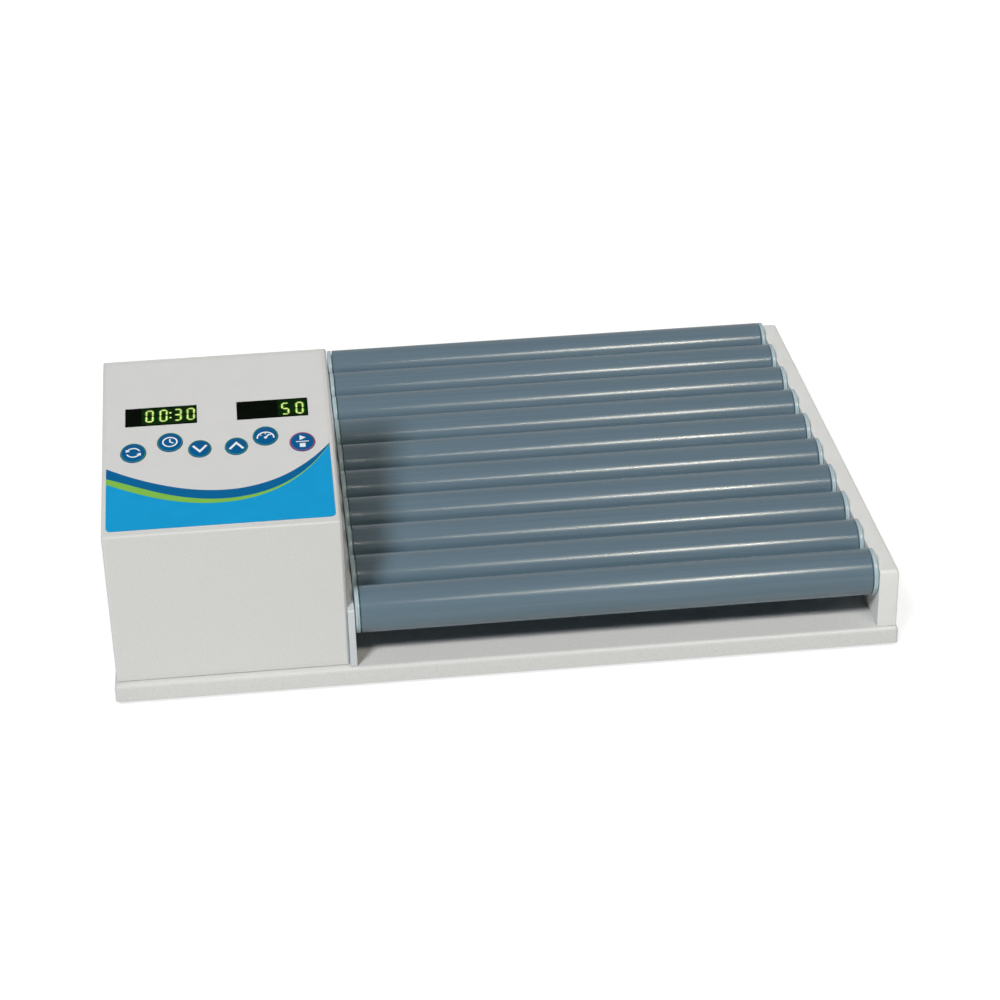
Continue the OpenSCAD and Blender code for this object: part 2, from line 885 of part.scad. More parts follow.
// Appliance inlet with three pins, and the window that holds the rocker
module power_inlet() {
    color("#1d1d1f")
        translate([inlet_x, cover_y1, inlet_z])
            union() {
                difference() {
                    union() {
                        translate([-inlet_w / 2, -inlet_depth, -inlet_h / 2])
                            cube([inlet_w, inlet_depth + inlet_lip_t, inlet_h]);
                        translate([-inlet_w / 2 - inlet_lip, 0, -inlet_h / 2 - inlet_lip])
                            cube([inlet_w + 2 * inlet_lip, inlet_lip_t, inlet_h + 2 * inlet_lip]);
                    }
                    translate([socket_offset - socket_w / 2, inlet_lip_t - socket_depth, -socket_h / 2])
                        cube([socket_w, socket_depth + through, socket_h]);
                    translate([rocker_offset - rocker_w / 2 - rocker_gap, inlet_lip_t - rocker_depth,
                        -rocker_window_l / 2])
                        cube([rocker_w + 2 * rocker_gap, rocker_depth + through, rocker_window_l]);
                    translate([0, inlet_lip_t - rocker_back, 0])
                        rod_x(rocker_pin_r + running_gap,
                            rocker_offset - rocker_w / 2 - rocker_gap - rocker_pin_len,
                            rocker_offset + rocker_w / 2 + rocker_gap + rocker_pin_len);
                }
                for (i = [-1, 0, 1])
                    translate([socket_offset + i * pin_pitch - pin_w / 2,
                        inlet_lip_t - socket_depth - through,
                        (1 - 2 * abs(i)) * pin_drop - pin_h / 2])
                        cube([pin_w, socket_depth - pin_short + through, pin_h]);
            }
}

// Rocker with a hollowed face, stored with its upper end pressed in
module rocker_switch() {
    face = rocker_back + rocker_rise;
    side_outline = [
        [-rocker_half_l, face - rocker_thick],
        [rocker_half_l, face - rocker_thick],
        [rocker_half_l, face],
        [0, face - rocker_hollow],
        [-rocker_half_l, face]
    ];
    pin_reach = rocker_w / 2 + rocker_gap + rocker_pin_len - 0.2;
    color("#26262a")
        translate([inlet_x + rocker_offset, cover_y1 + inlet_lip_t - rocker_back, inlet_z])
            union() {
                rotate([rocker_tilt, 0, 0])
                    translate([-rocker_w / 2, 0, 0])
                        rotate([0, 90, 0])
                            linear_extrude(rocker_w)
                                polygon(side_outline);
                rod_x(rocker_pin_r, -pin_reach, pin_reach);
            }
}

module case_screws() {
    color("#c4c6c8")
        at_case_screws()
            translate([0, 0, tray_under - screw_head_h])
                union() {
                    cylinder(r = screw_head_r, h = screw_head_h);
                    cylinder(r = screw_r, h = screw_head_h + sheet_t + screw_len - 1);
                }
}

base_tray();
rubber_feet();
left_bearing_plate();
right_bearing_plate();
left_bushes();
right_bushes();
for (k = [1 : roller_count]) roller_tube(k);
for (k = [1 : roller_count]) roller_caps(k);
for (k = [1 : roller_count]) roller_pulley(k);
roller_belts();
motor_belt();
motor_pulley();
motor_shaft();
gearmotor();
motor_bracket();
belt_cover();
control_cover();
panel_overlay();
display_block(-1);  // time_display
display_block(1);  // speed_display
control_board();
panel_button([-button_far, button_low_row], 1);  // button_mode
panel_button([-button_middle, button_high_row], 1);  // button_time
panel_button([-button_near, button_low_row], arrow_share);  // button_down
panel_button([button_near, button_low_row], arrow_share);  // button_up
panel_button([button_middle, button_high_row], 1);  // button_speed
panel_button([button_far, button_low_row], 1);  // button_start
power_supply();
power_inlet();
rocker_switch();
case_screws();
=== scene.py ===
import math

import bmesh
import bpy
import numpy as np
from mathutils import Matrix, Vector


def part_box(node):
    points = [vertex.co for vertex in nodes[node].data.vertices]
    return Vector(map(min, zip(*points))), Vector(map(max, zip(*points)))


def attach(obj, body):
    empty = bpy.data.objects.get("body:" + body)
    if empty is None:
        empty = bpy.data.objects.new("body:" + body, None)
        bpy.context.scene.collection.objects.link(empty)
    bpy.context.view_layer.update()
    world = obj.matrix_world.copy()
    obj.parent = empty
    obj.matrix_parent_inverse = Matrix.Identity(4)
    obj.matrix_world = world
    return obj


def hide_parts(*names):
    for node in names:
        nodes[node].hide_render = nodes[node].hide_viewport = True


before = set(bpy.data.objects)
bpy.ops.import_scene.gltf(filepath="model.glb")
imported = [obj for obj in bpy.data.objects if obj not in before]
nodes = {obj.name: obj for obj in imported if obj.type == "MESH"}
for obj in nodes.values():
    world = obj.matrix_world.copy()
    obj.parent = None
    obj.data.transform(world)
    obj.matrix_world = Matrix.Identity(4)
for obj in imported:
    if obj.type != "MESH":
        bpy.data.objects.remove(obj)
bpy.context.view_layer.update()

scene = bpy.context.scene
scene.view_settings.view_transform = "Standard"
mm = 0.001


# The bench top and the white studio round it. Soft suns light the mixer evenly: the strongest comes
# from the front left, and a row of five from the front right makes the bright line along each roller.
# The room is white to the camera and the floor keeps the mixer's shadow.
def soft_sun(name, azimuth, elevation, spread, strength, colour, in_gloss):
    """A sun lamp from the given azimuth (0 is the front, positive to the right) and elevation in
    degrees. Its rotation turns the lamp's -Z axis towards the origin."""
    lamp = bpy.data.lights.new(name, "SUN")
    lamp.angle = math.radians(spread)
    lamp.energy = strength
    lamp.color = colour
    holder = bpy.data.objects.new(name, lamp)
    holder.rotation_euler = (math.radians(90.0 - elevation), 0.0, math.radians(azimuth))
    holder.visible_glossy = in_gloss
    scene.collection.objects.link(holder)


cool_light = (0.95, 0.97, 1.0)
warm_light = (1.0, 0.93, 0.80)
plain_light = (1.0, 1.0, 1.0)
row_suns = (("row_sun_1", -5.0, 0.08), ("row_sun_2", 7.0, 0.15), ("row_sun_3", 18.0, 0.33),
            ("row_sun_4", 28.0, 0.42), ("row_sun_5", 37.0, 0.09))
row_elevation = 51.0
row_spread = 5.0
soft_sun("left_sun", -32.0, 47.0, 12.0, 2.50, cool_light, False)
for name, azimuth, strength in row_suns:
    soft_sun(name, azimuth, row_elevation, row_spread, strength, warm_light, True)
soft_sun("rear_sun", 165.0, 12.0, 30.0, 0.80, plain_light, False)

white = (1.0, 1.0, 1.0, 1.0)


def mixed_by_ray(tree, kinds, others, seen):
    """The seen shader for rays of the named kinds and the other shader for the rest."""
    path = tree.nodes.new("ShaderNodeLightPath")
    total = path.outputs[kinds[0]]
    for kind in kinds[1:]:
        larger = tree.nodes.new("ShaderNodeMath")
        larger.operation = "MAXIMUM"
        tree.links.new(total, larger.inputs[0])
        tree.links.new(path.outputs[kind], larger.inputs[1])
        total = larger.outputs[0]
    mix = tree.nodes.new("ShaderNodeMixShader")
    tree.links.new(total, mix.inputs[0])
    tree.links.new(others, mix.inputs[1])
    tree.links.new(seen, mix.inputs[2])
    return mix.outputs[0]


def room_side(tree, colour, strength):
    """The room as one even background."""
    side = tree.nodes.new("ShaderNodeBackground")
    side.inputs["Color"].default_value = colour
    side.inputs["Strength"].default_value = strength
    return side.outputs[0]


studio = bpy.data.worlds.new("studio")
scene.world = studio
studio.use_nodes = True
room = studio.node_tree
room.nodes.clear()
direct_rays = ["Is Camera Ray", "Is Transmission Ray"]
room_fill = room_side(room, (0.80, 0.96, 1.0, 1.0), 0.014)
room_mirrored = room_side(room, white, 0.5)
room_lighting = mixed_by_ray(room, ["Is Glossy Ray"], room_fill, room_mirrored)
room_seen = mixed_by_ray(room, direct_rays, room_lighting, room_side(room, white, 1.0))
room_out = room.nodes.new("ShaderNodeOutputWorld")
room.links.new(room_seen, room_out.inputs["Surface"])

floor_half = 6.0
floor_mesh = bpy.data.meshes.new("bench_floor")
floor_mesh.from_pydata([(-floor_half, -floor_half, 0), (floor_half, -floor_half, 0),
                        (floor_half, floor_half, 0), (-floor_half, floor_half, 0)], [], [(0, 1, 2, 3)])
floor = bpy.data.objects.new("bench_floor", floor_mesh)
scene.collection.objects.link(floor)
floor_paper = bpy.data.materials.new("floor_paper")
floor_paper.use_nodes = True
paper = floor_paper.node_tree
paper.nodes.clear()
paper_matt = paper.nodes.new("ShaderNodeBsdfDiffuse")
paper_matt.inputs["Color"].default_value = (0.77, 0.78, 0.77, 1.0)
paper_shade = paper.nodes.new("ShaderNodeBsdfDiffuse")
paper_shade.inputs["Color"].default_value = (0.26, 0.26, 0.26, 1.0)
paper_white = paper.nodes.new("ShaderNodeEmission")
paper_white.inputs["Color"].default_value = white
paper_white.inputs["Strength"].default_value = 0.82
paper_seen = paper.nodes.new("ShaderNodeAddShader")
paper.links.new(paper_shade.outputs[0], paper_seen.inputs[0])
paper.links.new(paper_white.outputs[0], paper_seen.inputs[1])
paper_out = paper.nodes.new("ShaderNodeOutputMaterial")
paper_mixed = mixed_by_ray(paper, direct_rays, paper_matt.outputs[0], paper_seen.outputs[0])
paper.links.new(paper_mixed, paper_out.inputs["Surface"])
floor_mesh.materials.append(floor_paper)

# The camera stands in front of the box's right half and looks down along the rollers' row. Its
# place, turn and focal length come from a fit to points on the mixer's outline.
sensor_mm = 36.0
focal_share = 2.46665
camera_place = (-0.137865, -1.57607, 0.876865)
camera_yaw = 0.0962
camera_pitch = 0.4943
camera_roll = -0.025
ahead = np.array([
    math.sin(camera_yaw) * math.cos(camera_pitch),
    math.cos(camera_yaw) * math.cos(camera_pitch),
    -math.sin(camera_pitch)])
level_right = np.array([math.cos(camera_yaw), -math.sin(camera_yaw), 0.0])
level_up = np.cross(level_right, ahead)
camera_right = math.cos(camera_roll) * level_right + math.sin(camera_roll) * level_up
camera_up = -math.sin(camera_roll) * level_right + math.cos(camera_roll) * level_up
camera_lens = bpy.data.cameras.new("camera")
camera_lens.sensor_width = sensor_mm
camera_lens.lens = sensor_mm * focal_share
camera_lens.clip_start = 0.01
camera = bpy.data.objects.new("camera", camera_lens)
turn = np.eye(4)
turn[:3, 0] = camera_right
turn[:3, 1] = camera_up
turn[:3, 2] = -ahead
turn[:3, 3] = camera_place
camera.matrix_world = Matrix(turn.tolist())
scene.collection.objects.link(camera)
scene.camera = camera


# The base tray is one sheet of steel, folded down at all four edges and powder coated off-white.
# Both bearing plates and the control box are screwed to it from below.
def rectangle(left, low, right, high):
    """The four corners of an upright rectangle, counter-clockwise from its lower left."""
    return [(left, low), (right, low), (right, high), (left, high)]


def rounded_outline(corners, radii, inset=0.0, steps=6):
    """Closed outline of a convex polygon, counter-clockwise. Every edge moves inwards by the
    inset, and each corner becomes an arc of its radius less the inset, swept in equal angles
    between the normals of the two edges that meet there."""
    corner = np.asarray(corners, float)
    edge_in = corner - np.roll(corner, 1, axis=0)
    edge_in /= np.linalg.norm(edge_in, axis=1)[:, None]
    edge_out = np.roll(edge_in, -1, axis=0)
    normal_in = np.stack([edge_in[:, 1], -edge_in[:, 0]], axis=1)
    normal_out = np.stack([edge_out[:, 1], -edge_out[:, 0]], axis=1)
    radius = np.maximum(np.asarray(radii, float) - inset, 1e-5)
    spread = 1.0 + np.sum(normal_in * normal_out, axis=1)
    centre = corner - (normal_in + normal_out) * ((inset + radius) / spread)[:, None]
    start = np.arctan2(normal_in[:, 1], normal_in[:, 0])
    sweep = np.arctan2(
        normal_in[:, 0] * normal_out[:, 1] - normal_in[:, 1] * normal_out[:, 0],
        np.sum(normal_in * normal_out, axis=1))
    angle = start[:, None] + sweep[:, None] * np.linspace(0.0, 1.0, steps + 1)
    arc = np.stack([np.cos(angle), np.sin(angle)], axis=2)
    return (centre[:, None, :] + radius[:, None, None] * arc).reshape(-1, 2)


def skin(rings, loop=False):
    """Vertices and faces over a stack of closed rings: face (i, j) joins points j and j + 1 of
    ring i with those of ring i + 1. A loop joins the last ring to the first; otherwise a flat
    face closes each end. Rings turn right-handed about the way the stack goes."""
    rings = np.asarray(rings, float)
    count, around = rings.shape[:2]
    index = np.arange(count * around).reshape(count, around)
    low = index if loop else index[:-1]
    high = np.roll(index, -1, axis=0) if loop else index[1:]
    quads = np.stack([low, np.roll(low, -1, axis=1), np.roll(high, -1, axis=1), high], axis=2)
    faces = quads.reshape(-1, 4).tolist()
    if not loop:
        faces.append(index[0, ::-1].tolist())
        faces.append(index[-1].tolist())
    return rings.reshape(-1, 3), faces


def make_piece(name, skins, material, body, stands_for=(), smooth_below=35.0):
    """One object from several skins, with edges sharper than smooth_below degrees kept crisp."""
    points = []
    faces = []
    for skin_points, skin_faces in skins:
        start = sum(len(p) for p in points)
        points.append(skin_points)
        faces.extend([[start + i for i in face] for face in skin_faces])
    mesh = bpy.data.meshes.new(name)
    mesh.from_pydata(np.concatenate(points).tolist(), [], faces)
    mesh.validate()
    mesh.polygons.foreach_set("use_smooth", np.ones(len(mesh.polygons), bool))
    mesh.set_sharp_from_angle(angle=math.radians(smooth_below))
    mesh.materials.append(material)
    piece = bpy.data.objects.new(name, mesh)
    scene.collection.objects.link(piece)
    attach(piece, body)
    if stands_for:
        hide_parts(*stands_for)
    return piece


def eased_stack(x0, x1, edge0, edge1, steps=5):
    """Stations along a bar and the inset of its outline at each. Both ends are eased over a
    quarter circle: at angle a the station lies radius * (1 - cos a) inside the end, and the
    outline is inset by radius * (1 - sin a)."""
    angle = np.linspace(0.0, math.pi / 2, steps + 1)
    run = 1 - np.cos(angle)
    inset = 1 - np.sin(angle)
    return (np.concatenate([x0 + edge0 * run, (x1 - edge1 * run)[::-1]]),
            np.concatenate([edge0 * inset, (edge1 * inset)[::-1]]))


def surface_tree(name, roughness, metallic=0.0):
    """A new material and its Principled shader, with the plain numbers set on the shader."""
    material = bpy.data.materials.new(name)
    material.use_nodes = True
    shader = material.node_tree.nodes["Principled BSDF"]
    shader.inputs["Roughness"].default_value = roughness
    shader.inputs["Metallic"].default_value = metallic
    return material, material.node_tree, shader


def linear(red, green, blue):
    """Scene-linear colour of a display colour given from 0 to 255, by the sRGB curve."""
    share = np.array([red, green, blue]) / 255.0
    value = np.where(share <= 0.04045, share / 12.92, ((share + 0.055) / 1.055) ** 2.4)
    return tuple(float(v) for v in value) + (1.0,)


def grain(tree, size, stretch=(1.0, 1.0, 1.0), detail=3.0):
    """Noise on Object coordinates whose blobs are about the given size in metres."""
    place = tree.nodes.new("ShaderNodeTexCoord")
    scale = tree.nodes.new("ShaderNodeMapping")
    scale.inputs["Scale"].default_value = stretch
    noise = tree.nodes.new("ShaderNodeTexNoise")
    noise.inputs["Scale"].default_value = 1.0 / size
    noise.inputs["Detail"].default_value = detail
    tree.links.new(place.outputs["Object"], scale.inputs["Vector"])
    tree.links.new(scale.outputs["Vector"], noise.inputs["Vector"])
    return noise.outputs["Fac"]


def tint(tree, shader, fac, dark, light, low=0.35, high=0.65):
    """Base colour that runs from dark to light as the pattern goes from low to high."""
    ramp = tree.nodes.new("ShaderNodeValToRGB")
    ramp.color_ramp.elements[0].position = low
    ramp.color_ramp.elements[0].color = dark
    ramp.color_ramp.elements[1].position = high
    ramp.color_ramp.elements[1].color = light
    tree.links.new(fac, ramp.inputs["Fac"])
    tree.links.new(ramp.outputs["Color"], shader.inputs["Base Color"])


def relief(tree, shader, fac, height, strength):
    """Bump of the given height in metres from a pattern."""
    bump = tree.nodes.new("ShaderNodeBump")
    bump.inputs["Distance"].default_value = height
    bump.inputs["Strength"].default_value = strength
    tree.links.new(fac, bump.inputs["Height"])
    tree.links.new(bump.outputs["Normal"], shader.inputs["Normal"])


def sheen_change(tree, shader, fac, low, high):
    """Roughness that runs from low to high with a pattern."""
    span = tree.nodes.new("ShaderNodeMapRange")
    span.inputs["From Min"].default_value = 0.3
    span.inputs["From Max"].default_value = 0.7
    span.inputs["To Min"].default_value = low
    span.inputs["To Max"].default_value = high
    tree.links.new(fac, span.inputs["Value"])
    tree.links.new(span.outputs["Result"], shader.inputs["Roughness"])


def powder_coat(name, dark, light):
    """Off-white powder coat: fine pebble relief, fine specks of tone, and a sheen that varies."""
    material, tree, shader = surface_tree(name, 0.3)
    shader.inputs["Specular IOR Level"].default_value = 0.45
    pebbles = grain(tree, 0.0011, detail=4.0)
    tint(tree, shader, pebbles, dark, light)
    relief(tree, shader, pebbles, 0.00008, 0.3)
    sheen_change(tree, shader, pebbles, 0.24, 0.36)
    return material


# The tray's white is a shade darker than the casing's: partly its own tone, partly painted shade for its
# top, which the rollers shade.
tray_paint = powder_coat("tray_paint", linear(201, 201, 200), linear(204, 204, 203))
tray_low, tray_high = [np.array(c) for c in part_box("base_tray")]
sheet = 1.5 * mm
fold_r = 3.2 * mm
corner_r = 2.2 * mm
edge_break = 0.3 * mm
tray_angle = np.linspace(0.0, math.pi / 2, 7)


def tray_ring(grow, z):
    """The tray's outline in plan, moved outwards by grow, at height z."""
    corners = rectangle(tray_low[0], tray_low[1], tray_high[0], tray_high[1])
    plan = rounded_outline(corners, [corner_r] * 4, inset=-grow)
    return np.column_stack([plan, np.full(len(plan), z)])


underside = [tray_ring(-sheet - (fold_r - sheet) * (1 - math.cos(a)),
                       tray_high[2] - sheet - (fold_r - sheet) * (1 - math.sin(a)))
             for a in tray_angle[::-1]]
lower_edge = [tray_ring(-sheet, tray_low[2] + edge_break),
              tray_ring(edge_break - sheet, tray_low[2]),
              tray_ring(-edge_break, tray_low[2]),
              tray_ring(0.0, tray_low[2] + edge_break)]
upper_side = [tray_ring(fold_r * (math.cos(a) - 1), tray_high[2] - fold_r * (1 - math.sin(a)))
              for a in tray_angle]
make_piece("base_tray_sheet", [skin(underside + lower_edge + upper_side)],
           tray_paint, "chassis", ["base_tray"])


# Four moulded rubber feet reach through to the underside of the tray's top and stand on the
# bench on a ring, with a hollow in its middle.
def turned_z(radius, station, place, around=48):
    """Rings about a vertical axis: at each station in z a circle of that radius."""
    angle = np.arange(around) * 2 * math.pi / around
    radius = np.asarray(radius, float)[:, None]
    height = np.repeat(np.asarray(station, float)[:, None], around, axis=1)
    return np.stack([place[0] + radius * np.cos(angle), place[1] + radius * np.sin(angle), height], axis=2)


foot_rubber, foot_tree, foot_shader = surface_tree("foot_rubber", 0.7)
tint(foot_tree, foot_shader, grain(foot_tree, 0.004), linear(30, 30, 31), linear(44, 44, 45))
relief(foot_tree, foot_shader, grain(foot_tree, 0.0006), 0.0001, 0.4)
feet_low, feet_high = [np.array(c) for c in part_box("rubber_feet")]
foot_r = 9.0
foot_h = 14.0
hollow_r = 4.5
hollow_h = 1.5
foot_radius = np.array([0.5, hollow_r - 0.3, hollow_r, hollow_r, hollow_r + 0.4,
                        7.1, 7.6, foot_r - 0.1, foot_r, foot_r - 0.3]) * mm
foot_station = np.array([hollow_h, hollow_h, hollow_h - 0.3, 0.4, 0.0,
                         0.0, 0.5, foot_h - 1.0, foot_h - 0.4, foot_h]) * mm
foot_centres = [(x, y) for x in (feet_low[0] + foot_r * mm, feet_high[0] - foot_r * mm)
                for y in (feet_low[1] + foot_r * mm, feet_high[1] - foot_r * mm)]
make_piece("rubber_feet_moulded", [skin(turned_z(foot_radius, foot_station, c)) for c in foot_centres],
           foot_rubber, "chassis", ["rubber_feet"])


# The left bearing plate is cut from 4.5 mm sheet and painted a cooler white than the casing. Its
# upper corners are lightly rounded, and its edges are only broken.
def bar_along_x(corners, radii, x0, x1, edge0, edge1):
    """Rings along X of a rounded outline in Y and Z whose ends are eased."""
    rings = []
    for station, inset in zip(*eased_stack(x0, x1, edge0, edge1)):
        outline = rounded_outline(corners, radii, inset)
        rings.append(np.column_stack([np.full(len(outline), station), outline]))
    return rings


plate_paint = powder_coat("plate_paint", linear(195, 201, 205), linear(198, 204, 208))
left_low, left_high = [np.array(c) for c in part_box("left_bearing_plate")]
plate_corners = rectangle(left_low[1], left_low[2], left_high[1], left_high[2])
plate_radii = np.array([0.4, 0.4, 1.5, 1.5]) * mm
left_rings = bar_along_x(plate_corners, plate_radii, left_low[0], left_high[0], edge_break, edge_break)
make_piece("left_bearing_plate_sheet", [skin(left_rings)],
           plate_paint, "chassis", ["left_bearing_plate"])


# The right bearing plate is a thick bar of smooth milky plastic with blind bores. Its upper edges
# are lightly rounded along its whole length.
right_low, right_high = [np.array(c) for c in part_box("right_bearing_plate")]
bar_radii = np.array([0.4, 0.4, 2.4, 2.4]) * mm
crest_r = 2.2 * mm
inner_r = 0.8 * mm
broken = 0.6 * mm
crest_angle = np.linspace(0.0, math.pi / 2, 9)


def right_plate_ring(station, lowered, drawn_in):
    """The plate's outline at one station along X, its top lowered and its ends drawn in."""
    corners = rectangle(right_low[1] + drawn_in, right_low[2],
                        right_high[1] - drawn_in, right_high[2] - lowered)
    outline = rounded_outline(corners, bar_radii)
    return np.column_stack([np.full(len(outline), station), outline])


def right_edge(face, radius, angle):
    """The ring at one angle round an upper edge: from the face at station face it lies radius *
    (1 - sin) inside the plate, and its top is lowered by |radius| * (1 - cos)."""
    drop = 1 - math.cos(angle)
    return right_plate_ring(face - radius * (1 - math.sin(angle)), abs(radius) * drop, broken * drop)


right_rings = [right_edge(right_low[0], -inner_r, a) for a in crest_angle[::-1]]
right_rings += [right_edge(right_high[0], crest_r, a) for a in crest_angle]
bar_white, bar_tree, bar_shader = surface_tree("bar_white", 0.5)
tint(bar_tree, bar_shader, grain(bar_tree, 0.03, detail=2.0), linear(219, 220, 218), linear(222, 222, 221))
relief(bar_tree, bar_shader, grain(bar_tree, 0.0025, stretch=(1.0, 0.2, 1.0)), 0.00002, 0.3)
bar_shader.inputs["Specular IOR Level"].default_value = 0.25
bar_shader.inputs["Subsurface Weight"].default_value = 0.2
bar_shader.inputs["Subsurface Radius"].default_value = (0.004, 0.006, 0.006)
make_piece("right_bearing_plate_bar", [skin(right_rings)],
           bar_white, "chassis", ["right_bearing_plate"])


# Sintered bushes with a running bore sit in both plates; the left ones have a flange on the
# drive side.
def turned_x(radius, station, y, z, around=96):
    """Rings about an axis along X through (y, z): at each station a circle of that radius."""
    angle = np.arange(around) * 2 * math.pi / around
    radius = np.asarray(radius, float)[:, None]
    along = np.repeat(np.asarray(station, float)[:, None], around, axis=1)
    return np.stack([along, y + radius * np.cos(angle), z + radius * np.sin(angle)], axis=2)


bush_bronze, bush_tree, bush_shader = surface_tree("bush_bronze", 0.38, 1.0)
tint(bush_tree, bush_shader, grain(bush_tree, 0.0015), linear(168, 138, 82), linear(196, 168, 112))
relief(bush_tree, bush_shader, grain(bush_tree, 0.0005), 0.00005, 0.4)
roller_count = sum(name.startswith("roller_tube_") for name in nodes)
axis_y = []
for k in range(1, roller_count + 1):
    low, high = [np.array(c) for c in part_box("roller_tube_%d" % k)]
    axis_y.append((low[1] + high[1]) / 2)
axis_z = (low[2] + high[2]) / 2
tube_x0 = low[0]
tube_x1 = high[0]
stub_bore_r = 4.05
bush_r = 5.95
bush_flange_r = 7.5
bush_flange_t = 1.5
left_plate_t = (left_high[0] - left_low[0]) / mm
blind_depth = 7.0
left_bush = ([stub_bore_r, bush_flange_r, bush_flange_r, bush_r, bush_r, stub_bore_r],
             [-bush_flange_t, -bush_flange_t, 0.0, 0.0, left_plate_t, left_plate_t])
right_bush = ([stub_bore_r, bush_r, bush_r, stub_bore_r], [0.0, 0.0, blind_depth, blind_depth])
for name, shape, x in (("left_bushes", left_bush, left_low[0]),
                       ("right_bushes", right_bush, right_low[0])):
    radius = np.array(shape[0]) * mm
    station = x + np.array(shape[1]) * mm
    bushes = [skin(turned_x(radius, station, y, axis_z, 40), loop=True) for y in axis_y]
    make_piece(name + "_turned", bushes, bush_bronze, "chassis", [name])


# Each roller is a length of grey-blue plastic tube. Extrusion leaves faint streaks along it, and
# its cut ends are eased.
roller_plastic, roller_tree, roller_shader = surface_tree("roller_plastic", 0.22)
roller_shader.inputs["Specular IOR Level"].default_value = 0.7
roller_streaks = grain(roller_tree, 0.0016, stretch=(0.012, 1.0, 1.0), detail=2.0)
tint(roller_tree, roller_shader, roller_streaks, linear(84, 105, 118), linear(89, 110, 123))
relief(roller_tree, roller_shader, roller_streaks, 0.00002, 0.4)
sheen_change(roller_tree, roller_shader, grain(roller_tree, 0.02, stretch=(0.2, 1.0, 1.0)), 0.19, 0.25)
roller_r = (high[2] - low[2]) / 2
roller_wall = 3.0 * mm
bore_r = roller_r - roller_wall
ease = 0.6 * mm
ease_mid = 0.17 * ease
ease_part = 0.3 * ease
tube_radius = np.array([bore_r, roller_r - ease, roller_r - ease_mid, roller_r, roller_r,
                        roller_r - ease_mid, roller_r - ease, bore_r])
tube_station = np.array([tube_x0, tube_x0, tube_x0 + ease_part, tube_x0 + ease, tube_x1 - ease,
                         tube_x1 - ease_part, tube_x1, tube_x1])
for k in range(roller_count):
    name = "roller_tube_%d" % (k + 1)
    make_piece(name + "_extruded",
               [skin(turned_x(tube_radius, tube_station, axis_y[k], axis_z), loop=True)],
               roller_plastic, "roller_%d" % (k + 1), [name])


# A moulded cap closes each end of a tube: a hollow plug inside, a flange as wide as the tube with
# a round rim, and the stub shaft that runs in the bush. The plastic is pale and slightly milky.
cap_plastic, cap_tree, cap_shader = surface_tree("cap_plastic", 0.24)
tint(cap_tree, cap_shader, grain(cap_tree, 0.01), linear(163, 183, 190), linear(171, 191, 198))
relief(cap_tree, cap_shader, grain(cap_tree, 0.0009), 0.00004, 0.4)
cap_shader.inputs["Specular IOR Level"].default_value = 0.5
cap_shader.inputs["Subsurface Weight"].default_value = 0.15
cap_shader.inputs["Subsurface Radius"].default_value = (0.002, 0.002, 0.002)
flange_t = 3.6
cap_r = roller_r / mm
plug_r = bore_r / mm - 0.05
plug_wall = 2.5
plug_len = 14.0
plug_floor = 2.0
stub_r = 4.0
centre_r = 0.6
rim_r = 0.9
groove_in = 0.3
rim_angle = np.linspace(0.0, math.pi / 2, 6)


def cap_profile(stub_len):
    """Radius and station in mm of one cap, from the stub's tip to the bottom of its hollow plug.
    The flange's outer rim is a quarter circle, with a shallow groove and a fine joint behind it."""
    tip = -flange_t - stub_len
    radius = [centre_r, stub_r - 0.4, stub_r, stub_r, stub_r + 0.6, cap_r - rim_r - 4.0]
    station = [tip, tip, tip + 0.4, -flange_t - 0.6, -flange_t, -flange_t]
    radius += list(cap_r - rim_r + rim_r * np.sin(rim_angle))
    station += list(-flange_t + rim_r * (1 - np.cos(rim_angle)))
    radius += [cap_r, cap_r - groove_in, cap_r - groove_in, cap_r, cap_r, cap_r - 0.12, cap_r - 0.4]
    station += [-2.1, -1.95, -1.75, -1.6, -1.0, -0.8, -0.7]
    radius += [plug_r, plug_r, plug_r - 1.0, plug_r - plug_wall, plug_r - plug_wall, centre_r]
    station += [-0.7, plug_len - 1.0, plug_len, plug_len, plug_floor, plug_floor]
    return np.array(radius) * mm, np.array(station) * mm


for k in range(roller_count):
    name = "roller_caps_%d" % (k + 1)
    low, high = [np.array(c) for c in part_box(name)]
    left_radius, left_station = cap_profile((tube_x0 - low[0]) / mm - flange_t)
    right_radius, right_station = cap_profile((high[0] - tube_x1) / mm - flange_t)
    make_piece(name + "_moulded",
               [skin(turned_x(left_radius, tube_x0 + left_station, axis_y[k], axis_z)),
                skin(turned_x(right_radius[::-1], tube_x1 - right_station[::-1], axis_y[k], axis_z))],
               cap_plastic, "roller_%d" % (k + 1), [name])


# A two-groove pulley is pressed onto the left stub of every roller. Each groove is round-bottomed
# to suit a round belt.
pulley_plastic, pulley_tree, pulley_shader = surface_tree("pulley_plastic", 0.5)
tint(pulley_tree, pulley_shader, grain(pulley_tree, 0.003), linear(52, 55, 60), linear(64, 67, 72))
relief(pulley_tree, pulley_shader, grain(pulley_tree, 0.0006), 0.00008, 0.5)
pulley_r = 8.0
pulley_len = 14.0
pulley_break = 0.4
groove_pitch = 6.8
groove_floor_r = 5.0
groove_half_w = 2.35
groove_r = 1.8
groove_lip = 1.8
lip_power = 1.76
groove_angle = np.linspace(-1.0, 1.0, 9) * math.radians(66)
groove_flare = groove_lip * np.abs(groove_angle) ** 4 / lip_power


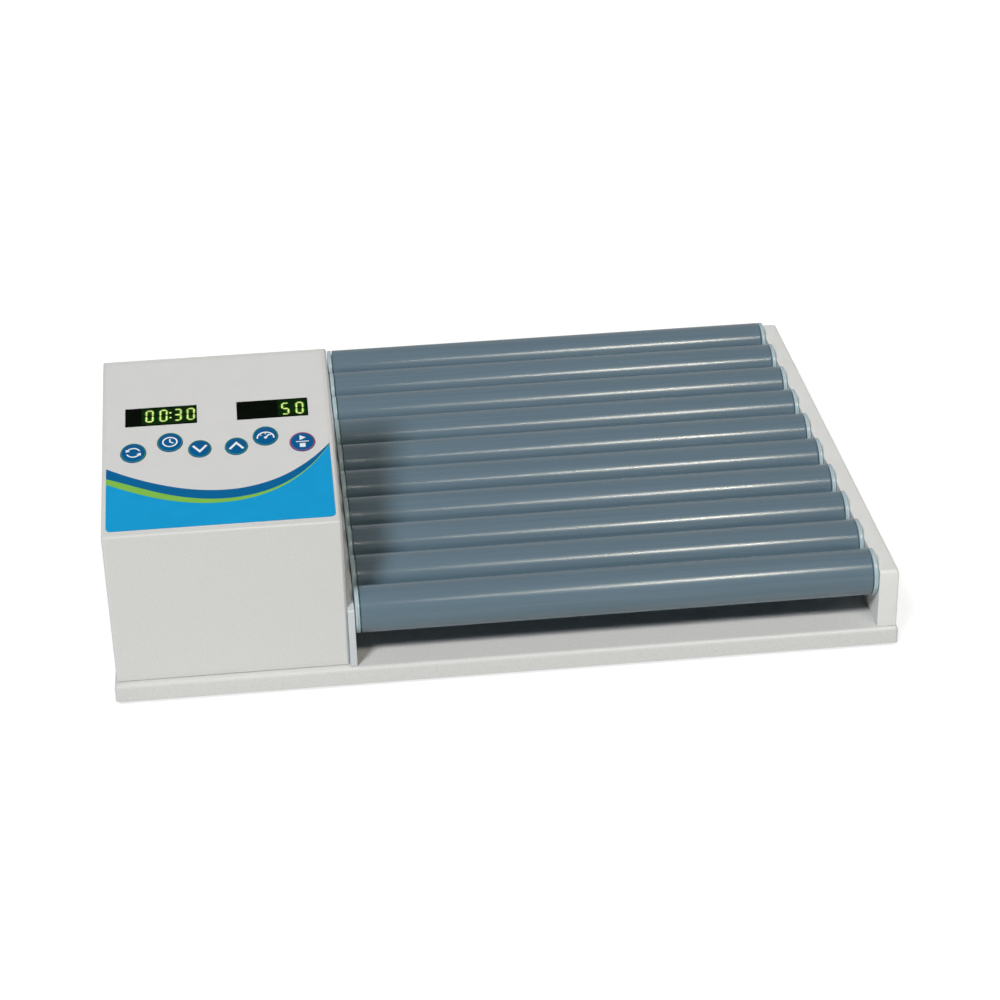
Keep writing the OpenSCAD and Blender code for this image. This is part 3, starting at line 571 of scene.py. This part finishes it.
def pulley_profile(bore, length, grooves):
    """Radius and station in mm round the half section of a pulley. Each groove is an arc of
    groove_r on the floor radius, flared by groove_lip times the fourth power of the angle over
    lip_power, which is that power at the lip."""
    end = length / 2
    radius = [bore, pulley_r - pulley_break, pulley_r]
    station = [-end, -end, pulley_break - end]
    for at in grooves:
        radius += list(groove_floor_r + groove_r * (1 - np.cos(groove_angle)) + groove_flare)
        station += list(at + groove_half_w * np.sin(groove_angle) / math.sin(groove_angle[-1]))
    radius += [pulley_r, pulley_r - pulley_break, bore]
    station += [end - pulley_break, end, end]
    return np.minimum(np.array(radius), pulley_r) * mm, np.array(station) * mm


low, high = [np.array(c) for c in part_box("roller_pulley_1")]
pulley_x = (low[0] + high[0]) / 2
groove_places = (-groove_pitch / 2, groove_pitch / 2)
pulley_radius, pulley_station = pulley_profile(stub_bore_r, pulley_len, groove_places)
for k in range(roller_count):
    name = "roller_pulley_%d" % (k + 1)
    rings = turned_x(pulley_radius, pulley_x + pulley_station, axis_y[k], axis_z, 64)
    make_piece(name + "_moulded", [skin(rings, loop=True)],
               pulley_plastic, "roller_%d" % (k + 1), [name])


# The motor's pulley has a single groove of the same size and sits on the gearbox's steel shaft.
low, high = [np.array(c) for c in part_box("motor_pulley")]
motor_y = (low[1] + high[1]) / 2
motor_z = (low[2] + high[2]) / 2
motor_groove_x = (low[0] + high[0]) / 2
motor_bore_r = 3.05
motor_pulley_len = 7.0
motor_radius, motor_station = pulley_profile(motor_bore_r, motor_pulley_len, (0.0,))
make_piece("motor_pulley_moulded",
           [skin(turned_x(motor_radius, motor_groove_x + motor_station, motor_y, motor_z, 64), loop=True)],
           pulley_plastic, "motor_output", ["motor_pulley"])
shaft_steel, shaft_tree, shaft_shader = surface_tree("shaft_steel", 0.28, 1.0)
tint(shaft_tree, shaft_shader, grain(shaft_tree, 0.0012, stretch=(1.0, 0.1, 0.1)),
     linear(168, 170, 173), linear(196, 198, 200))
low, high = [np.array(c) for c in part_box("motor_shaft")]
shaft_break = 0.4 * mm
shaft_radius = np.array([0.5, 2.6, 3.0, 3.0, 2.6, 0.5]) * mm
shaft_station = [low[0], low[0], low[0] + shaft_break, high[0] - shaft_break, high[0], high[0]]
make_piece("motor_shaft_ground", [skin(turned_x(shaft_radius, shaft_station, motor_y, motor_z, 48))],
           shaft_steel, "motor_output", ["motor_shaft"])


# Round polyurethane belts join neighbouring rollers, in the inner and the outer groove by turns,
# and one longer belt comes down from the motor.
def belt_rings(x, first, second, ring_r, wire_r, around=16, bend_steps=24):
    """A round cord carried along a racetrack in a plane of constant X: half circles of ring_r
    about the two pulley centres, joined by straights. The cord's circle lies in the plane of X
    and the outward normal."""
    first = np.asarray(first, float)
    span = np.asarray(second, float) - first
    heading = math.atan2(span[1], span[0])
    bend = np.linspace(-math.pi / 2, math.pi / 2, bend_steps + 1)
    angle = np.concatenate([heading + bend, heading + math.pi + bend])
    centre = np.repeat([first + span, first], bend_steps + 1, axis=0)
    outward = np.column_stack([np.zeros_like(angle), np.cos(angle), np.sin(angle)])
    path = np.column_stack([np.full(len(angle), x), centre]) + ring_r * outward
    turn = np.arange(around) * 2 * math.pi / around
    across = np.array([1.0, 0.0, 0.0])
    return (path[:, None, :] + wire_r * (np.cos(turn)[None, :, None] * across
                                         + np.sin(turn)[None, :, None] * outward[:, None, :]))


belt_rubber, belt_tree, belt_shader = surface_tree("belt_rubber", 0.42)
tint(belt_tree, belt_shader, grain(belt_tree, 0.004), linear(128, 42, 32), linear(146, 54, 42))
belt_ring_r = 6.8 * mm
belt_wire_r = 1.5 * mm
belt_skins = []
for k in range(roller_count - 1):
    side = 1 if k % 2 == 0 else -1
    groove_x = pulley_x + side * groove_pitch / 2 * mm
    belt_skins.append(skin(belt_rings(groove_x, (axis_y[k], axis_z), (axis_y[k + 1], axis_z),
                                      belt_ring_r, belt_wire_r), loop=True))
make_piece("roller_belts_round", belt_skins, belt_rubber, "chassis", ["roller_belts"])
make_piece("motor_belt_round",
           [skin(belt_rings(motor_groove_x, (axis_y[0], axis_z), (motor_y, motor_z),
                            belt_ring_r, belt_wire_r), loop=True)],
           belt_rubber, "chassis", ["motor_belt"])


# The gearmotor, its folded bracket, the mains board and the control board sit inside the closed
# box. The shapes are those of the frame, with their own metal, lacquer and board finishes.
def eased_copy(node, suffix, material, body, width, limit=38.0, segments=2):
    """The frame's shape of a node with its doubles merged, its coplanar triangles joined, and
    its edges sharper than limit degrees broken by a bevel of the given width."""
    mesh = nodes[node].data.copy()
    mesh.name = node + suffix
    mesh.materials.clear()
    mesh.materials.append(material)
    piece = bpy.data.objects.new(node + suffix, mesh)
    scene.collection.objects.link(piece)
    shape = bmesh.new()
    shape.from_mesh(mesh)
    bmesh.ops.remove_doubles(shape, verts=shape.verts, dist=1e-6)
    bmesh.ops.dissolve_limit(shape, angle_limit=math.radians(0.5), verts=shape.verts, edges=shape.edges)
    shape.to_mesh(mesh)
    shape.free()
    mesh.polygons.foreach_set("use_smooth", np.ones(len(mesh.polygons), bool))
    mesh.set_sharp_from_angle(angle=math.radians(limit))
    if width > 0:
        bevel = piece.modifiers.new("broken_edges", "BEVEL")
        bevel.width = width
        bevel.segments = segments
        bevel.limit_method = "ANGLE"
        bevel.angle_limit = math.radians(limit)
        bevel.harden_normals = True
        bevel.use_clamp_overlap = True
    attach(piece, body)
    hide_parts(node)
    return piece


motor_steel, motor_tree, motor_shader = surface_tree("motor_steel", 0.35, 1.0)
tint(motor_tree, motor_shader, grain(motor_tree, 0.0008, stretch=(0.05, 1.0, 1.0)),
     linear(150, 152, 156), linear(178, 180, 183))
relief(motor_tree, motor_shader, grain(motor_tree, 0.0008, stretch=(0.05, 1.0, 1.0)), 0.00003, 0.4)
eased_copy("gearmotor", "_turned", motor_steel, "chassis", 0.0)
bracket_metal, bracket_tree, bracket_shader = surface_tree("bracket_metal", 0.4, 1.0)
tint(bracket_tree, bracket_shader, grain(bracket_tree, 0.0012, stretch=(1.0, 0.06, 1.0)),
     linear(172, 174, 177), linear(190, 192, 195))
eased_copy("motor_bracket", "_folded", bracket_metal, "chassis", 0.2 * mm)
supply_lacquer, supply_tree, supply_shader = surface_tree("supply_lacquer", 0.45)
tint(supply_tree, supply_shader, grain(supply_tree, 0.006), linear(96, 92, 52), linear(124, 118, 66))
relief(supply_tree, supply_shader, grain(supply_tree, 0.001), 0.0001, 0.4)
eased_copy("power_supply", "_board", supply_lacquer, "chassis", 0.2 * mm)
board_lacquer, board_tree, board_shader = surface_tree("board_lacquer", 0.35)
tint(board_tree, board_shader, grain(board_tree, 0.005), linear(32, 84, 54), linear(42, 100, 64))
relief(board_tree, board_shader, grain(board_tree, 0.0015), 0.00006, 0.5)
eased_copy("control_board", "_printed", board_lacquer, "chassis", 0.0)


# The belt cover behind the control box is a plain painted trough over the rear pulleys.
casing_paint = powder_coat("casing_paint", linear(207, 207, 206), linear(209, 209, 208))
eased_copy("belt_cover", "_trough", casing_paint, "chassis", 0.25 * mm)


# The control box is one folded sheet wedge with closed sides, painted like the tray. It has vents
# and the mains inlet in its rear wall. Its lower edge leaves a fine dark seam above the tray, and
# its right wall lies close against the bearing plate.
cover_piece = eased_copy("control_cover", "_folded", casing_paint, "chassis", 0.25 * mm)
cover_low, cover_high = [np.array(c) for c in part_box("control_cover")]
seam = 0.45 * mm
wall_reach = 0.45 * mm
touching = 0.1 * mm
for vertex in cover_piece.data.vertices:
    if vertex.co.z < tray_high[2] + touching:
        vertex.co.z += seam
    if vertex.co.x > cover_high[0] - touching:
        vertex.co.x += wall_reach


# A printed polyester film covers most of the sloped face. It is casing-coloured above, with a dark
# blue sweep, a green one below it and a bright blue field down to its front edge.
panel_slope = math.radians(13.5)
box_front_h = 107.5 * mm
panel_origin = np.array([cover_low[0], cover_low[1], tray_high[2] + box_front_h])
panel_up = np.array([0.0, math.cos(panel_slope), math.sin(panel_slope)])
panel_normal = np.array([0.0, -math.sin(panel_slope), math.cos(panel_slope)])
panel_mid = (cover_high[0] - cover_low[0]) / 2 / mm
film_top = 0.4


def on_panel(points):
    """Points in mm across the box, up its slope and out of its face, moved into the frame."""
    points = np.asarray(points, float) * mm
    return (panel_origin + points[..., 0:1] * np.array([1.0, 0.0, 0.0])
            + points[..., 1:2] * panel_up + points[..., 2:3] * panel_normal)


film_matt, film_tree, film_shader = surface_tree("film_matt", 0.42)
film_shader.inputs["Specular IOR Level"].default_value = 0.12
tint(film_tree, film_shader, grain(film_tree, 0.02), linear(210, 210, 210), linear(212, 212, 212))
relief(film_tree, film_shader, grain(film_tree, 0.0004), 0.00003, 0.4)
eased_copy("panel_overlay", "_film", film_matt, "chassis", 0.0)


def printed_ink(name, red, green, blue):
    """Screen-printed ink: one colour with a slight mottle and the film's fine grain."""
    material, tree, shader = surface_tree(name, 0.4)
    shader.inputs["Specular IOR Level"].default_value = 0.1
    dark = linear(red * 0.98, green * 0.98, blue * 0.98)
    tint(tree, shader, grain(tree, 0.012), dark, linear(red, green, blue))
    relief(tree, shader, grain(tree, 0.0004), 0.00002, 0.4)
    return material


def printed_field(across, lower, upper, low_w, high_w):
    """A thin closed layer between two curves: at each place across, a flat rectangle from the
    lower to the upper curve, carried sideways."""
    rings = np.stack([
        np.column_stack([across, upper, np.full_like(across, low_w)]),
        np.column_stack([across, upper, np.full_like(across, high_w)]),
        np.column_stack([across, lower, np.full_like(across, high_w)]),
        np.column_stack([across, lower, np.full_like(across, low_w)])], axis=1)
    return on_panel(rings)


film_half_w = 73.0
film_left = panel_mid - film_half_w
film_right = panel_mid + film_half_w
film_front = 4.7
film_corner = 3.5
sweep_places = panel_mid + np.array([-73.5, -51.5, -25.9, -4.8, 12.0, 28.2, 42.0, 52.1, 62.3, 73.3])
dark_top_fit = np.polyfit(sweep_places, [66.3, 53.0, 42.9, 38.2, 37.9, 42.0, 48.5, 55.4, 64.2, 78.0], 5)
green_top_fit = np.polyfit(sweep_places, [56.3, 45.1, 34.3, 29.8, 29.6, 33.8, 40.4, 48.4, 59.4, 77.0], 5)
green_low_fit = np.polyfit(sweep_places, [50.9, 38.8, 29.3, 26.0, 26.2, 31.3, 38.7, 47.0, 58.4, 76.6], 5)
across = film_left + (film_right - film_left) * (1 - np.cos(np.linspace(0.0, math.pi, 161))) / 2
edge_gap = np.minimum(across - film_left, film_right - across)
corner_in = np.maximum(film_corner - edge_gap, 0.0)
front_edge = film_front + film_corner - np.sqrt(np.maximum(film_corner ** 2 - corner_in ** 2, 0.0))
dark_top = np.polyval(dark_top_fit, across)
thinnest_dark = 0.15
thinnest_green = 0.1
green_top = np.minimum(np.polyval(green_top_fit, across), dark_top - thinnest_dark)
green_low = np.minimum(np.polyval(green_low_fit, across), green_top - thinnest_green)
print_depth = 0.1
ink_low = film_top - print_depth
ink_high = film_top + 0.03
for name, ink, lower, upper in (
        ("printed_bright_blue_field", printed_ink("ink_bright_blue", 23, 154, 211), front_edge, green_low),
        ("printed_green_sweep", printed_ink("ink_green", 128, 187, 76), green_low, green_top),
        ("printed_dark_blue_sweep", printed_ink("ink_dark_blue", 4, 97, 151), green_top, dark_top)):
    make_piece(name, [skin(printed_field(across, lower, upper, ink_low, ink_high))],
               ink, "chassis")


# Two display blocks stand behind the panel's windows: black tinted fronts flush with the film,
# with seven-segment numerals that glow yellow-green.
display_front, display_tree, display_shader = surface_tree("display_front", 0.12)
tint(display_tree, display_shader, grain(display_tree, 0.01), linear(2, 7, 2), linear(5, 12, 5))
display_shader.inputs["Specular IOR Level"].default_value = 0.02
for name in ("time_display", "speed_display"):
    eased_copy(name, "_block", display_front, "chassis", 0.0)


def glowing(name, red, green, blue, strength):
    """A shining print: its colour shines, and wanders a little over it as a diode's does. It makes the lit
    segments and also the painted glow round them.
    """
    material, tree, shader = surface_tree(name, 0.3)
    shader.inputs["Specular IOR Level"].default_value = 0.02
    lit = linear(red, green, blue)
    tint(tree, shader, grain(tree, 0.002), linear(red * 0.5, green * 0.5, blue * 0.5), lit)
    shader.inputs["Emission Color"].default_value = lit
    shader.inputs["Emission Strength"].default_value = strength
    return material


# The segments are the display's own light. The halo, the glow and the modules' green are painted glow:
# shining layers that stand for the light spilled round the numerals.
lit_segment = glowing("lit_segment", 216, 228, 140, 0.5)
segment_halo = glowing("segment_halo", 84, 136, 40, 0.4)
segment_glow = glowing("segment_glow", 16, 74, 9, 0.4)
module_painted_glow = glowing("module_painted_glow", 9, 38, 7, 0.2)
digit_w = 5.2
digit_h = 12.2
bar = 1.05
bar_gap = 0.2
lean = 0.02
segment_ends = {
    "a": ((0, 2), (1, 2)), "b": ((1, 2), (1, 1)), "c": ((1, 1), (1, 0)), "d": ((0, 0), (1, 0)),
    "e": ((0, 1), (0, 0)), "f": ((0, 2), (0, 1)), "g": ((0, 1), (1, 1))}
digit_segments = {"0": "abcdef", "3": "abcdg", "5": "acdfg"}


def flat_slab(outline, low_w, high_w):
    """A thin closed plate on the panel with the given outline in mm."""
    outline = np.asarray(outline, float)
    return on_panel(np.stack([np.column_stack([outline, np.full(len(outline), w)])
                              for w in (low_w, high_w)]))


def segment_outline(start, end, width):
    """A bar with pointed ends between two points, each drawn in by bar_gap: six corners round its
    centre line."""
    start = np.asarray(start, float)
    end = np.asarray(end, float)
    way = (end - start) / np.linalg.norm(end - start)
    side = np.array([-way[1], way[0]]) * width / 2
    start = start + way * bar_gap
    end = end - way * bar_gap
    reach = way * width / 2
    return np.array([start, start + reach - side, end - reach - side,
                     end, end - reach + side, start + reach + side])


def digit_outlines(symbol, left, base, width):
    """Outlines of the lit bars of one numeral whose lower left corner is at (left, base)."""
    outlines = []
    for bar_name in digit_segments[symbol]:
        ends = []
        for column, row in segment_ends[bar_name]:
            up = row * (digit_h - bar) / 2 + bar / 2
            ends.append((left + bar / 2 + column * (digit_w - bar) + lean * up, base + up))
        outlines.append(segment_outline(ends[0], ends[1], width))
    return outlines


def dot_outline(u, v, radius):
    """Twelve points round a circle on the panel."""
    turn = np.arange(12) * math.pi / 6
    return np.column_stack([u + radius * np.cos(turn), v + radius * np.sin(turn)])


def numeral_outlines(numerals, base, width):
    """Lit bars of a row of numerals given as symbols and places across from the panel's middle."""
    return [o for symbol, place in numerals
            for o in digit_outlines(symbol, panel_mid + place, base, width)]


module_low = 108.2
module_high = 125.0
module_corner = 0.5


def module_outline(left, right):
    """The lit module's rectangle between two places across from the panel's middle."""
    corners = rectangle(panel_mid + left, module_low, panel_mid + right, module_high)
    return rounded_outline(corners, [module_corner] * 4)


time_numerals = (("0", -47.3), ("0", -38.1), ("3", -28.7), ("0", -20.0))
speed_numerals = (("5", 43.0), ("0", 52.5))
time_base = 110.6
speed_base = 109.5
halo = bar * 1.7
glow = bar * 3.4
modules = [module_outline(-50.0, -14.0), module_outline(40.5, 60.0)]
colon = [dot_outline(panel_mid - 30.8, time_base + v, 0.75) for v in (3.6, 8.6)]
# Painted glow: the lit modules, the glow and the halo are shining layers laid under and round the
# numerals.
for name, ink, outlines, rise in (
        ("display_module_glow", module_painted_glow, modules, 0.015),
        ("time_glow", segment_glow, numeral_outlines(time_numerals, time_base, glow), 0.03),
        ("speed_glow", segment_glow, numeral_outlines(speed_numerals, speed_base, glow), 0.03),
        ("time_halo", segment_halo, numeral_outlines(time_numerals, time_base, halo), 0.05),
        ("speed_halo", segment_halo, numeral_outlines(speed_numerals, speed_base, halo), 0.05),
        ("time_numerals", lit_segment, numeral_outlines(time_numerals, time_base, bar) + colon, 0.07),
        ("speed_numerals", lit_segment, numeral_outlines(speed_numerals, speed_base, bar), 0.07)):
    make_piece(name, [skin(flat_slab(o, film_top - print_depth, film_top + rise)) for o in outlines],
               ink, "chassis")


# Six oval keys stand a little proud of the film. They are dark blue with a thin outline, green on
# five and red on the last, and carry plain white signs: a loop, a clock, two arrows, a dial, and
# start over stop.
def oval_rings(centre, half_w, half_l, grow, station, around=72):
    """Rings of an ellipse about a place on the panel, its half axes widened by grow."""
    turn = np.arange(around) * 2 * math.pi / around
    grow = np.asarray(grow, float)[:, None]
    level = np.repeat(np.asarray(station, float)[:, None], around, axis=1)
    return on_panel(np.stack([centre[0] + (half_w + grow) * np.cos(turn),
                              centre[1] + (half_l + grow) * np.sin(turn), level], axis=2))


def ribbon(path, width, low_w, high_w, loop=False):
    """A flat bar of the given width carried along a path on the panel. At each point it is
    offset square to the mean direction and widened by the corner's mitre."""
    path = np.asarray(path, float)
    step = np.roll(path, -1, axis=0) - path
    if not loop:
        step[-1] = step[-2]
    after = step / np.linalg.norm(step, axis=1)[:, None]
    before = np.roll(after, 1, axis=0)
    if not loop:
        before[0] = after[0]
    mean = after + before
    mean /= np.linalg.norm(mean, axis=1)[:, None]
    mitre = np.clip(1.0 / np.sum(mean * after, axis=1), 1.0, 2.5)
    side = np.column_stack([-mean[:, 1], mean[:, 0]]) * (mitre * width / 2)[:, None]
    level_low = np.full((len(path), 1), low_w)
    level_high = np.full((len(path), 1), high_w)
    return skin(on_panel(np.stack([
        np.hstack([path + side, level_low]), np.hstack([path + side, level_high]),
        np.hstack([path - side, level_high]), np.hstack([path - side, level_low])], axis=1)), loop)


def arc_path(centre, radius, start, end, count=40):
    """Points of an arc from one angle in degrees to another."""
    angle = np.radians(np.linspace(start, end, count))
    return np.column_stack([centre[0] + radius * np.cos(angle), centre[1] + radius * np.sin(angle)])


key_blue = printed_ink("key_blue", 2, 87, 142)
outline_green = printed_ink("outline_green", 70, 148, 92)
outline_red = printed_ink("outline_red", 196, 66, 92)
sign_white = printed_ink("sign_white", 236, 240, 242)
key_top = film_top + 0.5
sign_low = key_top - print_depth
sign_high = key_top + 0.04
stroke = 1.0
key_ease = 0.22
key_flange = 1.2
key_foot = -3.0
flange_top = -1.8
key_grow = np.array([key_flange, key_flange, 0.0, 0.0, -0.3 * key_ease, -key_ease])
key_station = np.array([key_foot, flange_top, flange_top,
                        key_top - key_ease, key_top - 0.3 * key_ease, key_top])

chevron_half_w = 4.5
chevron_foot = 2.9
chevron_tip = 3.1
chevron_stroke = 1.6


def chevron(centre, way):
    """Open arrowhead that points up the panel for way 1 and down it for way -1."""
    u, v = centre
    foot = v - chevron_foot * way
    return [ribbon([(u - chevron_half_w, foot), (u, v + chevron_tip * way), (u + chevron_half_w, foot)],
                   chevron_stroke, sign_low, sign_high)]


loop_r = 4.3
loop_sweep = 125.0


def loop_sign(centre):
    """Two arcs that chase each other, each with an arrowhead at its end."""
    shapes = []
    for start in (20.0, 200.0):
        finish = start + loop_sweep
        shapes.append(ribbon(arc_path(centre, loop_r, start, finish), stroke, sign_low, sign_high))
        tip = math.radians(finish)
        side = np.array([math.cos(tip), math.sin(tip)])
        way = np.array([-math.sin(tip), math.cos(tip)])
        end = np.array(centre) + loop_r * side
        shapes.append(skin(flat_slab([end - side * 1.7, end + side * 1.7, end + way * 2.4],
                                     sign_low, sign_high)))
    return shapes


clock_r = 4.6


def clock_sign(centre):
    """A ring with two hands."""
    u, v = centre
    return [ribbon(arc_path(centre, clock_r, 0.0, 351.0), stroke, sign_low, sign_high, loop=True),
            ribbon([(u, v + 3.0), (u, v), (u + 2.3, v - 1.3)], stroke * 0.9, sign_low, sign_high)]


dial_r = 5.4
dial_drop = 2.0


def dial_sign(centre):
    """A half dial with three marks and a needle."""
    u, v = centre
    hub = (u, v - dial_drop)
    shapes = [ribbon(arc_path(hub, dial_r, -8.0, 188.0), stroke, sign_low, sign_high),
              ribbon([hub, (u + 2.4, v + 1.2)], stroke, sign_low, sign_high),
              skin(flat_slab(dot_outline(hub[0], hub[1], 1.1), sign_low, sign_high + 0.01))]
    for angle in (40.0, 90.0, 140.0):
        way = np.array([math.cos(math.radians(angle)), math.sin(math.radians(angle))])
        mark = [np.array(hub) + way * 3.4, np.array(hub) + way * 5.0]
        shapes.append(ribbon(mark, 0.7, sign_low, sign_high))
    return shapes


def start_stop_sign(centre):
    """A triangle over a square, with a line between them."""
    u, v = centre
    triangle = [(u - 1.7, v + 1.5), (u + 2.5, v + 3.9), (u - 1.7, v + 6.3)]
    square = rectangle(u - 1.9, v - 5.6, u + 1.9, v - 1.8)
    return [skin(flat_slab(triangle, sign_low, sign_high)),
            skin(flat_slab(square, sign_low, sign_high)),
            ribbon([(u - 4.2, v), (u + 4.2, v)], 0.8, sign_low, sign_high)]


large_half_w = 8.3
large_half_l = 9.5
outline_in = 0.45
outline_w = 0.44
keys = (
    ("button_mode", -55.4, 80.0, 1.0, outline_green, loop_sign),
    ("button_time", -31.4, 88.5, 1.0, outline_green, clock_sign),
    ("button_down", -12.0, 80.0, 0.9, outline_green, lambda c: chevron(c, -1)),
    ("button_up", 12.0, 80.0, 0.9, outline_green, lambda c: chevron(c, 1)),
    ("button_speed", 31.4, 88.5, 1.0, outline_green, dial_sign),
    ("button_start", 55.4, 80.0, 1.0, outline_red, start_stop_sign))
for node, key_across, key_up, share, outline_ink, sign in keys:
    centre = (panel_mid + key_across, key_up)
    half_w = large_half_w * share
    half_l = large_half_l * share
    make_piece(node + "_key", [skin(oval_rings(centre, half_w, half_l, key_grow, key_station))],
               key_blue, node, [node])
    turn = np.arange(96) * 2 * math.pi / 96
    ring_path = np.column_stack([centre[0] + (half_w - outline_in) * np.cos(turn),
                                 centre[1] + (half_l - outline_in) * np.sin(turn)])
    make_piece(node + "_outline", [ribbon(ring_path, outline_w, sign_low, sign_high - 0.01, loop=True)],
               outline_ink, node)
    make_piece(node + "_sign", sign(centre), sign_white, node)


# The mains inlet is a black moulded body clipped into the rear wall, with three brass-coloured
# pins and a black rocker beside them. The screws are plain steel ones from below.
inlet_plastic, inlet_tree, inlet_shader = surface_tree("inlet_plastic", 0.42)
tint(inlet_tree, inlet_shader, grain(inlet_tree, 0.005), linear(24, 24, 26), linear(32, 32, 34))
relief(inlet_tree, inlet_shader, grain(inlet_tree, 0.0005), 0.00006, 0.5)
eased_copy("power_inlet", "_moulded", inlet_plastic, "chassis", 0.3 * mm)
rocker_plastic, rocker_tree, rocker_shader = surface_tree("rocker_plastic", 0.22)
tint(rocker_tree, rocker_shader, grain(rocker_tree, 0.004), linear(26, 26, 28), linear(36, 36, 38))
eased_copy("rocker_switch", "_moulded", rocker_plastic, "rocker", 0.3 * mm)
screw_steel, screw_tree, screw_shader = surface_tree("screw_steel", 0.3, 1.0)
tint(screw_tree, screw_shader, grain(screw_tree, 0.0009), linear(160, 162, 165), linear(190, 192, 195))
eased_copy("case_screws", "_panhead", screw_steel, "chassis", 0.2 * mm)
